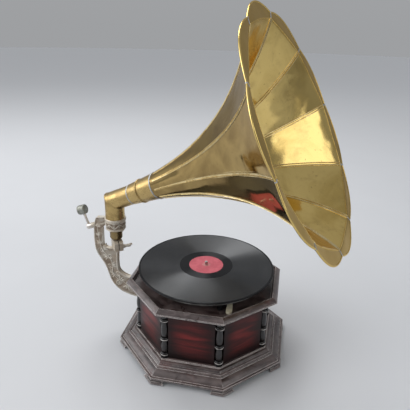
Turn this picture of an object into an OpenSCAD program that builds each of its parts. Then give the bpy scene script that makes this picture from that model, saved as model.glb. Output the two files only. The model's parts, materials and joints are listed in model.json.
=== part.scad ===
// Table gramophone: an octagonal case with turned corner columns, a spring motor, a turntable with a record,
// a cast rear bracket and a brass horn of ten petals.
// The origin lies on the floor under the spindle, +X is the way the horn points, +Z is up.

/* [Case] */
// Distance across the flats of the plinth's bottom lip
plinth_across = 367; // [350:1:390]
// Height of the feet
foot_h = 12; // [9:1:18]
// Length of a foot along each side of its corner
foot_len = 24; // [18:1:36]
// How far a foot's toe stands out past the plinth
toe_out = 1.5; // [0:0.5:4]
// Height of the plinth moulding
plinth_h = 28; // [26:1:36]
// Height of the plinth's bottom lip
lip_h = 5; // [3:0.5:6]
// Depth of the step above the lip
lip_step = 5.5; // [3:0.5:8]
// Radius of the bead halfway up the plinth
plinth_bead_r = 2.2; // [1.5:0.1:3]
// Distance across the flats of the wall panels
wall_across = 286; // [278:1:292]
// Height of the wall panels
wall_h = 112; // [100:1:126]
// Thickness of the wall panels
wall_t = 12; // [9:1:14]
// Thickness of the base board
base_t = 8; // [6:1:12]
// Thickness of the deck board
deck_t = 8; // [6:1:10]
// Height of the top frame, from the deck's underside to its ridge
frame_h = 17; // [15:0.5:22]
// Width of the top frame
frame_w = 14.5; // [12:0.5:18]
// Distance from the frame's outer edge in to its ridge
frame_ridge = 9.5; // [7:0.5:10]

/* [Columns] */
// Largest diameter of a corner column, at its rings
column_d = 19; // [15:0.5:20]
// How far a column's axis sits inside the corner of the walls
column_inset = 4.8; // [3:0.2:6]
// Diameter of a column's narrow necks
column_neck_d = 10; // [8:0.5:12]
// Largest diameter of a column's baluster swellings
baluster_d = 15.5; // [13:0.5:17]
// Height of a turned ring group
ring_h = 9; // [7:0.5:10]
// Height of a column's capital, from its upper ring group to the top
capital_h = 20; // [17:0.5:24]

/* [Turntable] */
// Diameter of the record
record_d = 302; // [290:1:304]
// Thickness of the record
record_t = 2; // [1.6:0.1:3]
// Diameter of the paper label
label_d = 76.5; // [70:0.5:90]
// Depth of the recess that the label lies in
label_t = 0.3; // [0.2:0.05:0.5]
// Diameter of the platter
platter_d = 284; // [276:1:290]
// Height of the platter's top above the deck
platter_lift = 28; // [24:1:32]
// Depth of the platter's skirt
skirt_h = 8; // [7:0.5:12]
// Wall of the platter
platter_t = 2.5; // [2:0.25:4]
// Thickness of the felt
felt_t = 1; // [0.6:0.1:2]
// Diameter of the spindle's tip
spindle_tip_d = 6.8; // [6.6:0.05:6.9]
// Diameter of the record's centre hole
record_hole_d = 7.3; // [7.25:0.01:7.4]
// Height of the spindle's tip above the record
spindle_tip_h = 8; // [5:0.5:12]
// Diameter of the spindle's shaft
spindle_d = 8; // [7.6:0.2:9]

/* [Brake] */
// Distance of the brake's pivot from the spindle
brake_reach = 111.5; // [107:0.5:114]
// Bearing of the brake's pivot round the deck
brake_bearing = -51; // [-56:0.5:-46]
// Length of the lever from its pivot to its tip
brake_len = 43; // [38:1:44]
// Length of the arm that carries the pad
brake_arm = 34; // [32:1:36]
// Thickness of the lever
brake_t = 3; // [2:0.5:4]
// Gap between the pad and the skirt with the brake off
brake_gap = 4.5; // [4:0.1:6]
// Turn of the grip from the pivot's own bearing
grip_turn = -37; // [-42:1:-30]

/* [Bracket] */
// Distance from the case wall to the socket's axis
socket_reach = 68.6; // [66:0.2:74]
// Height of the socket's top above the deck
socket_lift = 124; // [118:1:130]
// Thickness of the cast arm
arm_t = 12; // [9:0.5:16]
// Height of the socket
socket_h = 28; // [26:0.5:32]
// Wall of the socket
socket_t = 3.4; // [3:0.1:4]
// Width of the bracket's foot on the wall
flange_w = 44; // [38:1:52]
// Height of the bracket's foot on the wall
flange_h = 62; // [56:1:68]
// Thickness of the bracket's foot
flange_t = 6; // [4:0.5:8]
// Diameter of the bracket's screws
bracket_screw_d = 5; // [4:0.5:6]
// Height of the split lug
lug_h = 23; // [20:0.5:25]
// Width of the slit in the lug
slit_w = 2; // [1:0.25:3]
// Turn of the split lug round the socket
lug_turn = 38; // [30:1:46]

/* [Tone arm socket] */
// Outside diameter of the swivelling cup
cup_d = 28.4; // [27:0.2:30]
// Wall of the cup
cup_t = 1.4; // [1:0.1:2]
// Height of the cup below the bracket's socket
cup_drop = 25.5; // [24:0.5:28]
// Radius of the cup's bottom edge
cup_corner = 6; // [4:0.25:7]
// Bore of the inlet that takes a tone arm
inlet_d = 16; // [14:0.25:17]
// Wall of the inlet
inlet_t = 1.5; // [1:0.1:2]
// Reach of the inlet from the cup's axis
inlet_reach = 27; // [24:0.5:29]
// Diameter of the stem that the lug grips
stem_d = 10; // [8:0.5:11]
// Bearing of the inlet round the cup, swung off the record
inlet_turn = 90; // [80:1:100]

/* [Clamps] */
// Slope of the horn clamp's screw
clamp_slope = 20; // [16:1:22]
// Diameter of the horn clamp's screw
clamp_d = 6; // [5:0.5:7]
// Length of the horn clamp's screw from its tip to the arm
clamp_len = 49; // [46:0.5:54]
// Length of the clamp's arm
clamp_arm = 42; // [36:0.5:46]
// Diameter of the clamp's arm
clamp_arm_d = 6; // [5:0.25:7]
// Diameter of the clamp's knob
knob_d = 22; // [18:0.5:24]
// Length of the clamp's knob
knob_len = 19; // [16:0.5:22]
// Diameter of the wing screw
wing_d = 5; // [4:0.5:6]
// Reach of the wings along the screw
wing_reach = 20; // [14:0.5:22]
// Span of the wings
wing_span = 24; // [20:0.5:24]
// Thickness of the wings
wing_t = 3; // [2:0.25:4]
// Rest angle of the wings round the screw
wing_turn = 50; // [0:5:90]

/* [Horn] */
// Outside diameter of the elbow's tube
elbow_d = 43; // [40:0.5:45]
// Outside diameter of the elbow's narrow end in the socket
entry_d = 37; // [35:0.5:38]
// Wall of the elbow and the neck
tube_t = 1.2; // [0.8:0.1:2]
// Height of the elbow's bend above the socket
bend_lift = 39.8; // [36:0.2:48]
// Elevation of the horn's axis
horn_rise = 26; // [15:0.5:40]
// Bearing of the horn's axis
horn_turn = -12.7; // [-30:0.1:30]
// Distance from the bend to the neck ferrule
ferrule_at = 57.5; // [50:0.5:66]
// Length of the neck ferrule
ferrule_len = 69; // [58:0.5:80]
// How far the elbow enters the ferrule
spigot_len = 26; // [16:0.5:32]
// Distance from the ferrule's start to its bead
bead_at = 26; // [15:0.5:35]
// Radius of the bead and the solder bands
bead_r = 1.8; // [1:0.1:2.5]
// Number of petals
petals = 10; // [8:1:12]
// Radius of the throat where the petals start
throat_r = 28; // [26:0.25:32]
// Radius at the lip's bend
bend_r = 203; // [180:1:220]
// Length of the petals from the throat to the lip's bend
bell_len = 321.5; // [300:0.5:345]
// Flare of the bell for each millimetre of its length
flare = 0.0067; // [0.0058:0.0001:0.0078]
// Length of the lip along the axis
lip_rise = 1.5; // [1:0.5:6]
// Radius of the rim at a seam
rim_r = 216; // [206:1:230]
// How far the rim bulges between two seams
lobe = 11; // [4:0.5:16]
// Flatness of a petal across its width
petal_flat = 0.75; // [0:0.05:1]
// Angle of the first seam from the top of the horn
seam_turn = 12.4; // [0:0.2:36]
// Thickness of the sheet metal
sheet_t = 1.2; // [1:0.1:2]
// Thickness of the rolled rim
rim_roll = 3.2; // [2.5:0.1:5]
// Width of a raised seam
seam_w = 6; // [4:0.25:8]
// Height of a raised seam
seam_h = 1; // [0.6:0.1:1.6]

/* [Motor] */
// Tooth module of the spur wheels
tooth_m = 1.5; // [1.4:0.05:1.55]
// Teeth of the great wheel on the barrel
great_teeth = 60; // [54:1:62]
// Teeth of the intermediate wheel
middle_teeth = 50; // [44:1:52]
// Teeth of each pinion
pinion_teeth = 10; // [10:1:12]
// Height of the spring barrel
barrel_h = 30; // [24:1:34]
// Diameter of the spring barrel's drum
barrel_d = 80; // [70:1:82]
// Wall of the spring barrel
barrel_t = 1.5; // [1:0.1:2.5]
// Diameter of the barrel's arbor
arbor_d = 12; // [10:0.5:13]
// Turns of the mainspring
spring_turns = 6; // [4:1:8]
// Thickness of the mainspring
spring_t = 0.8; // [0.5:0.1:1]
// Thickness of the motor plates
plate_t = 4; // [3:0.5:5]
// Distance between the motor plates
plate_gap = 86; // [84:0.5:90]
// Diameter of the motor's pillars
pillar_d = 10; // [8:0.5:11]
// Thickness of the washers between motor and deck
washer_t = 8; // [4:0.5:9]
// Teeth of the winding bevel wheel
bevel_teeth = 20; // [18:1:22]
// Face of the bevel gears as a share of their cone's length
bevel_share = 0.33; // [0.2:0.01:0.4]
// Teeth of the governor's worm wheel
worm_teeth = 40; // [36:1:44]
// Starts of the governor's worm
worm_starts = 4; // [3:1:5]
// Diameter of the governor's shaft
governor_d = 4; // [3.5:0.25:5]
// Diameter of a governor weight
weight_d = 10; // [8:0.5:11]

/* [Winding crank] */
// Diameter of the winding shaft
shaft_d = 10; // [9:0.25:11]
// Diameter of the crank's rod
crank_d = 9; // [8:0.25:10]
// Distance from the wall to the crank's arm
crank_out = 52; // [50:0.5:60]
// Length of the crank's arm
crank_arm = 80; // [60:1:84]
// Length of the crank's grip
grip_len = 62; // [48:1:80]
// Diameter of the crank's grip
grip_d = 22; // [18:0.5:26]

/* [Fits] */
// Running clearance on the radius of a shaft in its bore
run_clear = 0.05; // [0.02:0.01:0.09]
// Clearance between pieces that pass each other
pass_clear = 0.3; // [0.3:0.05:0.5]

/* [Hidden] */
$fn = 48;
sides = 8;
half_side = 180 / sides;

// Levels of the case
ledge_z = foot_h + plinth_h;
deck_under = ledge_z + wall_h;
deck_z = deck_under + deck_t;

// Apothems of the case's octagons
plinth_a = plinth_across / 2;
wall_a = wall_across / 2;
wall_in = wall_a - wall_t;
column_r = wall_a / cos(half_side) - column_inset;
column_rim = 0.7;
ledge_a = (column_r + column_d / 2 + column_rim) * cos(half_side);
frame_set = 2;
deck_a = ledge_a + frame_set;
frame_a = deck_a + frame_w;
// How far a cut runs past the face that it opens, and a mitre's cutter past its moulding
over = 1;
mitre_over = 2;
// Feet: their back edge, heel and the hollow of their toes
foot_back = 26;
foot_heel = 18;
toe_round = 3;
toe_hollow = 2;
// Plinth: its bead, its step and the rim of its ledge, in from the top's outer edge and down from the top
bead_in = 14;
bead_down = 11;
step_in = 8;
step_down = 7;
rim_in = 2;
rim_down = 3;
lip_ease = 0.8;
// Top frame: its nose and inner edge, down from the ridge
nose_low = 10.5;
nose_high = 7.8;
nose_ease = 0.8;
ridge_w = 1.6;
inner_drop = 5;
// Columns: the pads at both ends, the outer rings' set-back and the clearance in the walls
column_pad = 3;
ring_back = 1.2;
column_clear = 0.2;

// Levels of the turntable
platter_z = deck_z + platter_lift;
felt_z = platter_z + felt_t;
record_z = felt_z + record_t;
spindle_top = record_z + spindle_tip_h;
skirt_r = platter_d / 2 - platter_t;
// The spindle is a little thicker in the record, and its end is eased
tip_step = 0.5;
tip_ease = 1;
spindle_play = 0.2;
deck_hole_d = spindle_d + 8;
felt_margin = 3;
felt_hole_d = spindle_d + 2;
label_play = 0.1;
brake_post_w = 8;
brake_pad_t = 2;
brake_grip_w = 12;
grip_from = brake_len * 0.2;
grip_tang = brake_len * 0.5;
tang_w = brake_grip_w * 0.4;

// Motor: levels, wheels and the places of the arbors
motor_top = deck_under - washer_t;
plate_top = motor_top - plate_t;
plate_bottom = plate_top - plate_gap;
wheel_t = 4;
wheel_clear = 2;
addendum = 0.8;
dedendum = 1.1;
pressure = 25;
backlash = 0.3;
// The bevel gears have short teeth, because their outlines lie square to their axes
bevel_addendum = 0.45;
pinion_r = pinion_teeth * tooth_m / 2;
great_r = great_teeth * tooth_m / 2;
middle_r = middle_teeth * tooth_m / 2;
great_tip = great_r + addendum * tooth_m;
middle_tip = middle_r + addendum * tooth_m;
barrel_dist = 67;
barrel_bearing = 116.5;
barrel_at = barrel_dist * [cos(barrel_bearing), sin(barrel_bearing)];
// The intermediate arbor stands where both of its meshes have their centre distance
middle_dist = middle_r + pinion_r;
great_dist = great_r + pinion_r;
middle_turn = acos((middle_dist ^ 2 + barrel_dist ^ 2 - great_dist ^ 2) / (2 * middle_dist * barrel_dist));
middle_bearing = barrel_bearing - middle_turn;
middle_at = middle_dist * [cos(middle_bearing), sin(middle_bearing)];
great_bearing = atan2(barrel_at[1] - middle_at[1], barrel_at[0] - middle_at[0]);
barrel_lift = 8;
barrel_z = plate_bottom + barrel_lift;
great_z = barrel_z + barrel_h;
bevel_r = bevel_teeth * tooth_m / 2;
winding_z = great_z + wheel_t + wheel_clear + 2 * pinion_r;
middle_lift = 5;
middle_z = winding_z + pinion_r + middle_lift;
worm_lift = 24;
worm_z = plate_bottom + worm_lift;
worm_wheel_t = 6;
worm_r = 5;
worm_lobe = 0.8;
worm_m = 1;
worm_wheel_r = worm_teeth * worm_m / 2;
worm_wheel_tip = worm_wheel_r + addendum * worm_m;
governor_y = -(worm_wheel_tip + worm_r + worm_lobe + pass_clear);
// The governor's ends and its weights, along and out from its shaft
governor_back = 26;
governor_front = 64;
weight_z = 36;
weight_r = 13;
leaf_r = 6;
leaf_half = 17;
leaf_w = 4;
disc_d = 30;
disc_t = 2;
// The crank's stem: how far it enters the shaft, its thickness there and the shaft's end past the wall
stem_in = 12;
stem_core = crank_d - 3;
shaft_out = 3;
stem_play = 0.2;
crank_pin_d = crank_d * 0.7;
pin_head_t = 2;
// The winding shaft's length from the barrel's axis to the wall's face, and the place of its bearing
winding_len = wall_a - barrel_at[1];
bearing_at = bevel_r + 8;
bush_d = shaft_d + 8;
bush_flange_d = shaft_d + 18;
bush_flange_t = 2;
bearing_half = 9;
pillar_clear = 8;
front_pillar = 80;
plate_edge = 9;
pillars = [
    barrel_at + (great_tip + pillar_clear) * [cos(175), sin(175)],
    barrel_at + (great_tip + pillar_clear) * [cos(75), sin(75)],
    middle_at + (middle_tip + pillar_clear) * [cos(10), sin(10)],
    front_pillar * [cos(-40), sin(-40)],
    front_pillar * [cos(-140), sin(-140)]
];
pivot_d = 5;
washer_d = pillar_d + 4;
arbor_flange_d = arbor_d + 5;
arbor_flange_t = 2;

// Bracket: places of the socket, lug and clamps
socket_x = -wall_a - socket_reach;
socket_z = deck_z + socket_lift;
socket_in = entry_d / 2 + run_clear;
socket_out = socket_in + socket_t;
collar_r = elbow_d / 2 + run_clear;
collar_h = 4;
socket_lip = 2;
seat_depth = 18;
seat_z = socket_z - seat_depth;
cup_play = 0.5;
cup_top = seat_z - cup_play;
cup_bottom = socket_z - socket_h - cup_drop;
lug_gap = 2;
lug_top = cup_bottom - lug_gap;
lug_z = lug_top - lug_h;
lug_w = 20;
lug_back = 10;
lug_front = 19;
wing_y = -12.5;
wing_up = 8;
wing_z = lug_z + wing_up;
flange_z = deck_under - 45;
screw_side = 7;
screw_end = 9;
clamp_drop = 13;
stub_d = 13;
stub_len = 41;
knob_pin_d = 3.2;

// Horn: its bend, its axis and the bell's exponential profile
bend_z = socket_z + bend_lift;
solder_gap = 0.08;
petal_at = ferrule_at + ferrule_len + solder_gap;
mitre_reach = 4 * elbow_d;
growth = (bend_r - throat_r) / (1 - exp(-flare * bell_len));
half_petal = 180 / petals;
bell_rows = 17;
lip_rows = 3;
petal_cols = 6;
flat_from = 20;
seam_gap = 0.15;
band_clear = 0.2;
seam_start = bead_r + 0.5;

mahogany = [0.27, 0.08, 0.06];
ebony = [0.09, 0.07, 0.07];
brass = [0.72, 0.55, 0.24];
patina = [0.62, 0.56, 0.47];
steel = [0.6, 0.61, 0.63];
iron = [0.3, 0.3, 0.31];

// A curved line from p to q that stands off its chord by a height at its middle
function bow(p, q, height, steps = 6) =
    let (side = [p[1] - q[1], q[0] - p[0]] / norm(q - p))
    [for (i = [0:steps]) let (t = i / steps) p + (q - p) * t + side * height * 4 * t * (1 - t)];

// A smooth line through a list of points
function spline(points, steps = 5) =
    let (last = len(points) - 1)
    concat(
        [for (i = [0:last - 1]) for (s = [0:steps - 1])
            let (t = s / steps)
            let (a = points[max(i - 1, 0)], b = points[i], c = points[i + 1], d = points[min(i + 2, last)])
            let (square = 2 * a - 5 * b + 4 * c - d, cube = 3 * b - a - 3 * c + d)
            0.5 * (2 * b + (c - a) * t + square * t ^ 2 + cube * t ^ 3)],
        [points[last]]
    );

function involute(angle) = tan(angle) * 180 / PI - angle;

// Half the angle of a tooth at a radius
function tooth_half(r, teeth, module_mm, reach) =
    (PI * module_mm / 2 - backlash) / (2 * r) * 180 / PI + involute(pressure)
    - involute(acos(min(1, r * cos(pressure) / reach)));

// Outline of a spur wheel with one tooth centred on the X axis
function wheel_outline(teeth, module_mm, tip_share = addendum) =
    let (r = teeth * module_mm / 2, root = r - dedendum * module_mm, tip = r + tip_share * module_mm)
    let (start = max(root, r * cos(pressure)))
    let (reaches = root < start ? [root, start, r, tip] : [root, r, tip])
    let (halves = [for (reach = reaches) tooth_half(r, teeth, module_mm, max(reach, start))])
    let (last = len(reaches) - 1)
    [for (tooth = [0:teeth - 1], k = [0:2 * last + 1])
        let (j = k <= last ? k : 2 * last + 1 - k)
        let (angle = 360 * tooth / teeth + (k <= last ? -halves[j] : halves[j]))
        reaches[j] * [cos(angle), sin(angle)]];

// Faces of a closed shell between two grids of points, the first grid outside
function shell_faces(rows, cols) =
    let (n = (rows + 1) * (cols + 1))
    let (outer = [for (j = [0:rows - 1], i = [0:cols - 1])
        let (a = j * (cols + 1) + i, b = a + cols + 1)
        each [[a, a + 1, b + 1], [a, b + 1, b]]])
    let (inner = [for (f = outer) [f[2] + n, f[1] + n, f[0] + n]])
    let (loop = concat(
        [for (i = [0:cols - 1]) i],
        [for (j = [0:rows - 1]) j * (cols + 1) + cols],
        [for (i = [cols:-1:1]) rows * (cols + 1) + i],
        [for (j = [rows:-1:1]) j * (cols + 1)]))
    let (walls = [for (k = [0:len(loop) - 1])
        let (a = loop[k], b = loop[(k + 1) % len(loop)])
        each [[b, a, a + n], [b, a + n, b + n]]])
    concat(outer, inner, walls);

module octagon(apothem) {
    rotate(half_side)
        circle(r = apothem / cos(half_side), $fn = sides);
}

module octagon_board(apothem, z, t) {
    translate([0, 0, z])
        linear_extrude(t)
            octagon(apothem);
}

// One straight length of moulding, mitred at both ends, from a profile drawn over (apothem, height)
module mitred_length(side, reach) {
    far = reach / cos(half_side);
    corner = far * [cos(half_side), sin(half_side)];
    rotate(side * 360 / sides)
        intersection() {
            translate([0, far, 0])
                rotate([90, 0, 0])
                    linear_extrude(2 * far)
                        children();
            linear_extrude(deck_z + frame_h)
                polygon([[0, 0], [corner[0], -corner[1]], corner]);
        }
}

module at_corner(i) {
    rotate(half_side + i * 360 / sides)
        translate([column_r, 0, 0])
            children();
}

// Outline of a foot from the middle of the case out to its toe, over (apothem, height)
module foot_profile() {
    toe = plinth_a + toe_out;
    polygon(concat(
        [[0, foot_h], [0, 0]],
        bow([toe - toe_round, 0], [toe - toe_round, foot_h / 2], -toe_round),
        bow([toe - toe_round - toe_hollow, foot_h / 2], [plinth_a - toe_hollow, foot_h], -toe_hollow / 2)
    ));
}

// The open space behind a foot's sloping back
module foot_hollow() {
    polygon([
        [0, -over],
        [plinth_a - foot_heel, -over],
        [plinth_a - foot_heel, 0],
        [plinth_a - foot_back, foot_h],
        [plinth_a - foot_back, foot_h + over],
        [0, foot_h + over]
    ]);
}

// What a profile bounds at a corner, where the runs along both of its sides meet
module corner_of_sides() {
    reach = 2 * plinth_a;
    intersection_for (turn = [-half_side, half_side])
        rotate(turn)
            translate([0, reach / 2, 0])
                rotate([90, 0, 0])
                    linear_extrude(reach)
                        children();
}

module feet() {
    color(ebony)
        for (corner = [0:sides - 1])
            rotate(half_side + corner * 360 / sides)
                intersection() {
                    difference() {
                        corner_of_sides()
                            foot_profile();
                        corner_of_sides()
                            foot_hollow();
                    }
                    translate([plinth_a / cos(half_side), 0, 0])
                        rotate([0, 0, 45])
                            cube([2 * foot_len, 2 * foot_len, 2 * foot_h], center = true);
                }
}

module base_board() {
    color(mahogany)
        octagon_board(wall_in, foot_h, base_t);
}

module plinth_profile() {
    slope = [plinth_a - lip_step, lip_h];
    bead = [ledge_a + bead_in, plinth_h - bead_down];
    step = [ledge_a + step_in, plinth_h - step_down];
    rim = [ledge_a + rim_in, plinth_h - rim_down];
    translate([0, foot_h]) {
        polygon(concat(
            [[wall_in, 0], [plinth_a - lip_ease, 0], [plinth_a, lip_ease]],
            [[plinth_a, lip_h - lip_ease], [plinth_a - lip_ease, lip_h]],
            bow(slope, bead + [plinth_bead_r, -plinth_bead_r], -1.6),
            [bead],
            bow(step, rim, -1.2, 4),
            [[ledge_a, rim[1]], [ledge_a, plinth_h], [wall_in, plinth_h]]
        ));
        translate(bead)
            circle(r = plinth_bead_r);
    }
}

module plinth_moulding() {
    color(mahogany)
        for (side = [0:sides - 1])
            mitred_length(side, plinth_a + mitre_over)
                plinth_profile();
}

module wall_panels() {
    color(mahogany)
        difference() {
            for (side = [0:sides - 1])
                mitred_length(side, wall_a + mitre_over)
                    translate([wall_in, ledge_z])
                        square([wall_t, wall_h]);
            for (i = [0:sides - 1])
                at_corner(i)
                    translate([0, 0, ledge_z - over])
                        cylinder(d = column_d + 2 * column_clear, h = wall_h + 2 * over);
            translate([barrel_at[0], wall_in - over, winding_z])
                rotate([-90, 0, 0])
                    cylinder(d = bush_d, h = wall_t + 2 * over);
            bracket_screw_places()
                cylinder(d = bracket_screw_d, h = 2 * (wall_t + over), center = true);
        }
}

module frame_profile() {
    nose = [frame_w, frame_h - nose_high + nose_ease];
    translate([deck_a, deck_under])
        polygon(concat(
            [[0, 0], [frame_set, 0]],
            bow([frame_set + 1, 1], [frame_w, frame_h - nose_low], 2),
            [[frame_w, frame_h - nose_high]],
            bow(nose - [nose_ease, 0], [frame_w - frame_ridge, frame_h], -nose_ease),
            [[frame_w - frame_ridge - ridge_w, frame_h], [0, frame_h - inner_drop]]
        ));
}

module top_frame() {
    color(mahogany)
        for (side = [0:sides - 1])
            mitred_length(side, frame_a + mitre_over)
                frame_profile();
}

module deck_board() {
    color(mahogany)
        difference() {
            octagon_board(deck_a, deck_under, deck_t);
            translate([0, 0, deck_under - over])
                cylinder(d = deck_hole_d, h = deck_t + 2 * over);
            brake_frame()
                translate([0, 0, -deck_t - over])
                    cylinder(d = pivot_d, h = deck_t + 2 * over);
        }
}

// Half the section of a corner column: ring groups at its foot, middle and shoulder, swellings and a capital
module column_profile() {
    pad = column_pad;
    mid = ledge_z + (wall_h - capital_h) / 2;
    shoulder = ledge_z + wall_h - capital_h;
    square_ring(ledge_z, pad, column_d / 2);
    ring_group(ledge_z + pad);
    baluster(ledge_z + pad + ring_h, mid - ring_h / 2);
    ring_group(mid - ring_h / 2);
    baluster(mid + ring_h / 2, shoulder - ring_h / 2);
    ring_group(shoulder - ring_h / 2);
    baluster(shoulder + ring_h / 2, deck_under - pad);
    square_ring(deck_under - pad, pad, column_d / 2);
}

module corner_columns() {
    color(ebony)
        for (i = [0:sides - 1])
            at_corner(i)
                rotate_extrude()
                    column_profile();
}

module square_ring(z, h, r) {
    translate([0, z])
        square([r, h]);
}

module ring_group(z) {
    bead = ring_h / 6;
    square_ring(z, ring_h, column_neck_d / 2);
    for (k = [0:2])
        translate([column_d / 2 - bead - (k == 1 ? 0 : ring_back), z + bead * (1 + 2 * k)])
            circle(r = bead);
    square_ring(z, ring_h, column_d / 2 - bead - ring_back);
}

module baluster(z0, z1) {
    steps = 8;
    // Powers that keep the swelling low and full
    low = 0.7;
    full = 0.8;
    neck = column_neck_d / 2;
    swell = baluster_d / 2 - neck;
    polygon(concat(
        [[0, z0]],
        [for (s = [0:steps])
            let (t = s / steps)
                [neck + swell * sin(180 * t ^ low) ^ full, z0 + (z1 - z0) * t]],
        [[0, z1]]
    ));
}

module bracket_screw_places() {
    for (side = [-1, 1], level = [-1, 1])
        translate([
            -wall_a,
            side * (flange_w / 2 - screw_side),
            flange_z + level * (flange_h / 2 - screw_end)
        ])
            rotate([0, -90, 0])
                children();
}

// Outline of the cast arm in the plane through the wall and the socket's axis
module bracket_outline() {
    wall_x = -wall_a - flange_t + 0.5;
    back = spline([
        [wall_x, flange_z - 25],
        [-wall_a - 35, flange_z - 20],
        [socket_x + 4, flange_z - 8],
        [socket_x - 15, flange_z + 15],
        [socket_x - 28, flange_z + 54],
        [socket_x - 47, socket_z - 91],
        [socket_x - 51, socket_z - 65],
        [socket_x - 50, socket_z - 26],
        [socket_x - 44, socket_z - 4]
    ]);
    front = spline([
        [socket_x + 2, lug_z - 4],
        [socket_x, flange_z + 61],
        [socket_x + 4, flange_z + 39],
        [-wall_a - 43, flange_z + 26],
        [wall_x, flange_z + 24]
    ]);
    window = [
        [socket_x - socket_out + 1.5, socket_z - 1],
        [socket_x - socket_out + 1.5, seat_z],
        [socket_x - 32, socket_z - socket_h - 1],
        [socket_x - 32.5, lug_z + 4],
        [socket_x - 25, lug_z]
    ];
    polygon(concat(back, window, [[socket_x + 2, lug_z]], front));
}

module at_socket(z) {
    translate([socket_x, 0, z])
        children();
}

module socket_profile() {
    low = cup_d / 2 + run_clear;
    polygon([
        [low, socket_z - socket_h],
        [socket_out - 1, socket_z - socket_h],
        [socket_out + 0.6, socket_z - socket_h + 1.6],
        [socket_out, socket_z - socket_h + 3.2],
        [socket_out, socket_z - collar_h - 3],
        [socket_out + socket_lip, socket_z - collar_h - 1],
        [socket_out + socket_lip, socket_z - 1],
        [socket_out + socket_lip - 1, socket_z],
        [collar_r, socket_z],
        [collar_r, socket_z - collar_h],
        [socket_in, socket_z - collar_h],
        [socket_in, seat_z],
        [low, seat_z]
    ]);
}

// Side of the split lug, with rounded shoulders
module lug_profile() {
    shoulder = 5;
    polygon(concat(
        [[-lug_front, 0], [lug_back, 0]],
        bow([lug_back, lug_h - shoulder], [lug_back - shoulder, lug_h], -1),
        bow([shoulder - lug_front, lug_h], [-lug_front, lug_h - shoulder], -1)
    ));
}

// Frame of the horn clamp: its origin on the elbow, +Z out along the screw and +X up the crank arm
module clamp_frame() {
    translate([socket_x - socket_in, 0, socket_z - clamp_drop])
        rotate([0, -90 - clamp_slope, 0])
            children();
}

module bracket() {
    color(patina)
        difference() {
            union() {
                translate([0, arm_t / 2, 0])
                    rotate([90, 0, 0])
                        linear_extrude(arm_t)
                            bracket_outline();
                translate([-wall_a - flange_t, -flange_w / 2, flange_z - flange_h / 2])
                    cube([flange_t, flange_w, flange_h]);
                at_socket(0)
                    rotate_extrude()
                        socket_profile();
                at_socket(lug_z)
                    rotate(lug_turn)
                        translate([-lug_w / 2, 0, 0])
                            rotate([90, 0, 90])
                                linear_extrude(lug_w)
                                    lug_profile();
                clamp_frame()
                    translate([0, 0, socket_t])
                        cylinder(d = stub_d, h = stub_len - socket_t);
            }
            at_socket(seat_z)
                cylinder(r = socket_in, h = socket_h);
            at_socket(socket_z - collar_h)
                cylinder(r = collar_r, h = socket_h);
            at_socket(lug_z - 1)
                cylinder(r = stem_d / 2 + run_clear, h = lug_h + 2);
            at_socket(lug_z - 1)
                rotate(lug_turn)
                    translate([-slit_w / 2, -lug_front - 1, 0])
                        cube([slit_w, lug_front + 1, lug_h + 2]);
            wing_frame()
                translate([0, 0, -lug_w / 2 - 1])
                    cylinder(r = wing_d / 2 + run_clear, h = lug_w + 2);
            clamp_frame()
                translate([0, 0, -socket_t])
                    cylinder(r = clamp_d / 2 + run_clear, h = stub_len + 2 * socket_t);
            bracket_screw_places()
                cylinder(d = bracket_screw_d, h = 4 * flange_t, center = true);
        }
}

module bracket_screws() {
    color(steel)
        bracket_screw_places()
            translate([0, 0, -wall_t]) {
                cylinder(d = bracket_screw_d, h = wall_t + flange_t);
                translate([0, 0, wall_t + flange_t])
                    intersection() {
                        cylinder(d = 2 * bracket_screw_d, h = bracket_screw_d / 2);
                        translate([0, 0, -bracket_screw_d * 0.75])
                            sphere(d = 2.5 * bracket_screw_d);
                    }
            }
}

// Frame of the wing screw: +Z out of the lug along the screw
module wing_frame() {
    at_socket(wing_z)
        rotate(lug_turn)
            translate([0, wing_y, 0])
                rotate([0, 90, 0])
                    children();
}

module wing_screw() {
    hub = 7;
    hub_d = 2 * wing_d;
    paddle_r = 5;
    paddle = [wing_span / 2 - paddle_r, wing_reach - paddle_r];
    color(patina)
        wing_frame() {
            translate([0, 0, -lug_w / 2])
                cylinder(d = wing_d, h = lug_w + 1);
            translate([0, 0, lug_w / 2 + pass_clear])
                cylinder(d1 = hub_d, d2 = hub_d * 0.75, h = hub);
            for (turn = [wing_turn, wing_turn + 180])
                rotate(turn)
                    translate([0, wing_t / 2, lug_w / 2 + pass_clear + 1])
                        rotate([90, 0, 0])
                            linear_extrude(wing_t)
                                polygon(concat(
                                    [[0, 0], [hub_d / 2, 0]],
                                    [for (a = [-30:15:135]) paddle + paddle_r * [cos(a), sin(a)]],
                                    [[0, hub - 1]]
                                ));
        }
}

// Half the section of a cup with a rounded bottom
module cup_shape(r, bottom, top, corner) {
    translate([0, bottom + corner])
        square([r, top - bottom - corner]);
    translate([0, bottom])
        square([r - corner, corner + 1]);
    translate([r - corner, bottom + corner])
        circle(r = corner);
}

module tone_arm_socket() {
    inlet_z = cup_bottom + cup_drop / 2 + 1;
    color(brass)
        difference() {
            union() {
                at_socket(0)
                    rotate_extrude()
                        cup_shape(cup_d / 2, cup_bottom, cup_top, cup_corner);
                at_socket(inlet_z)
                    rotate([0, 90, inlet_turn])
                        cylinder(d = inlet_d + 2 * inlet_t, h = inlet_reach);
                at_socket(lug_z)
                    cylinder(d = stem_d, h = cup_bottom - lug_z + cup_t / 2);
            }
            at_socket(0)
                rotate_extrude()
                    cup_shape(cup_d / 2 - cup_t, cup_bottom + cup_t, cup_top + 1, cup_corner - cup_t);
            at_socket(inlet_z)
                rotate([0, 90, inlet_turn])
                    cylinder(d = inlet_d, h = inlet_reach + 1);
        }
}

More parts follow.
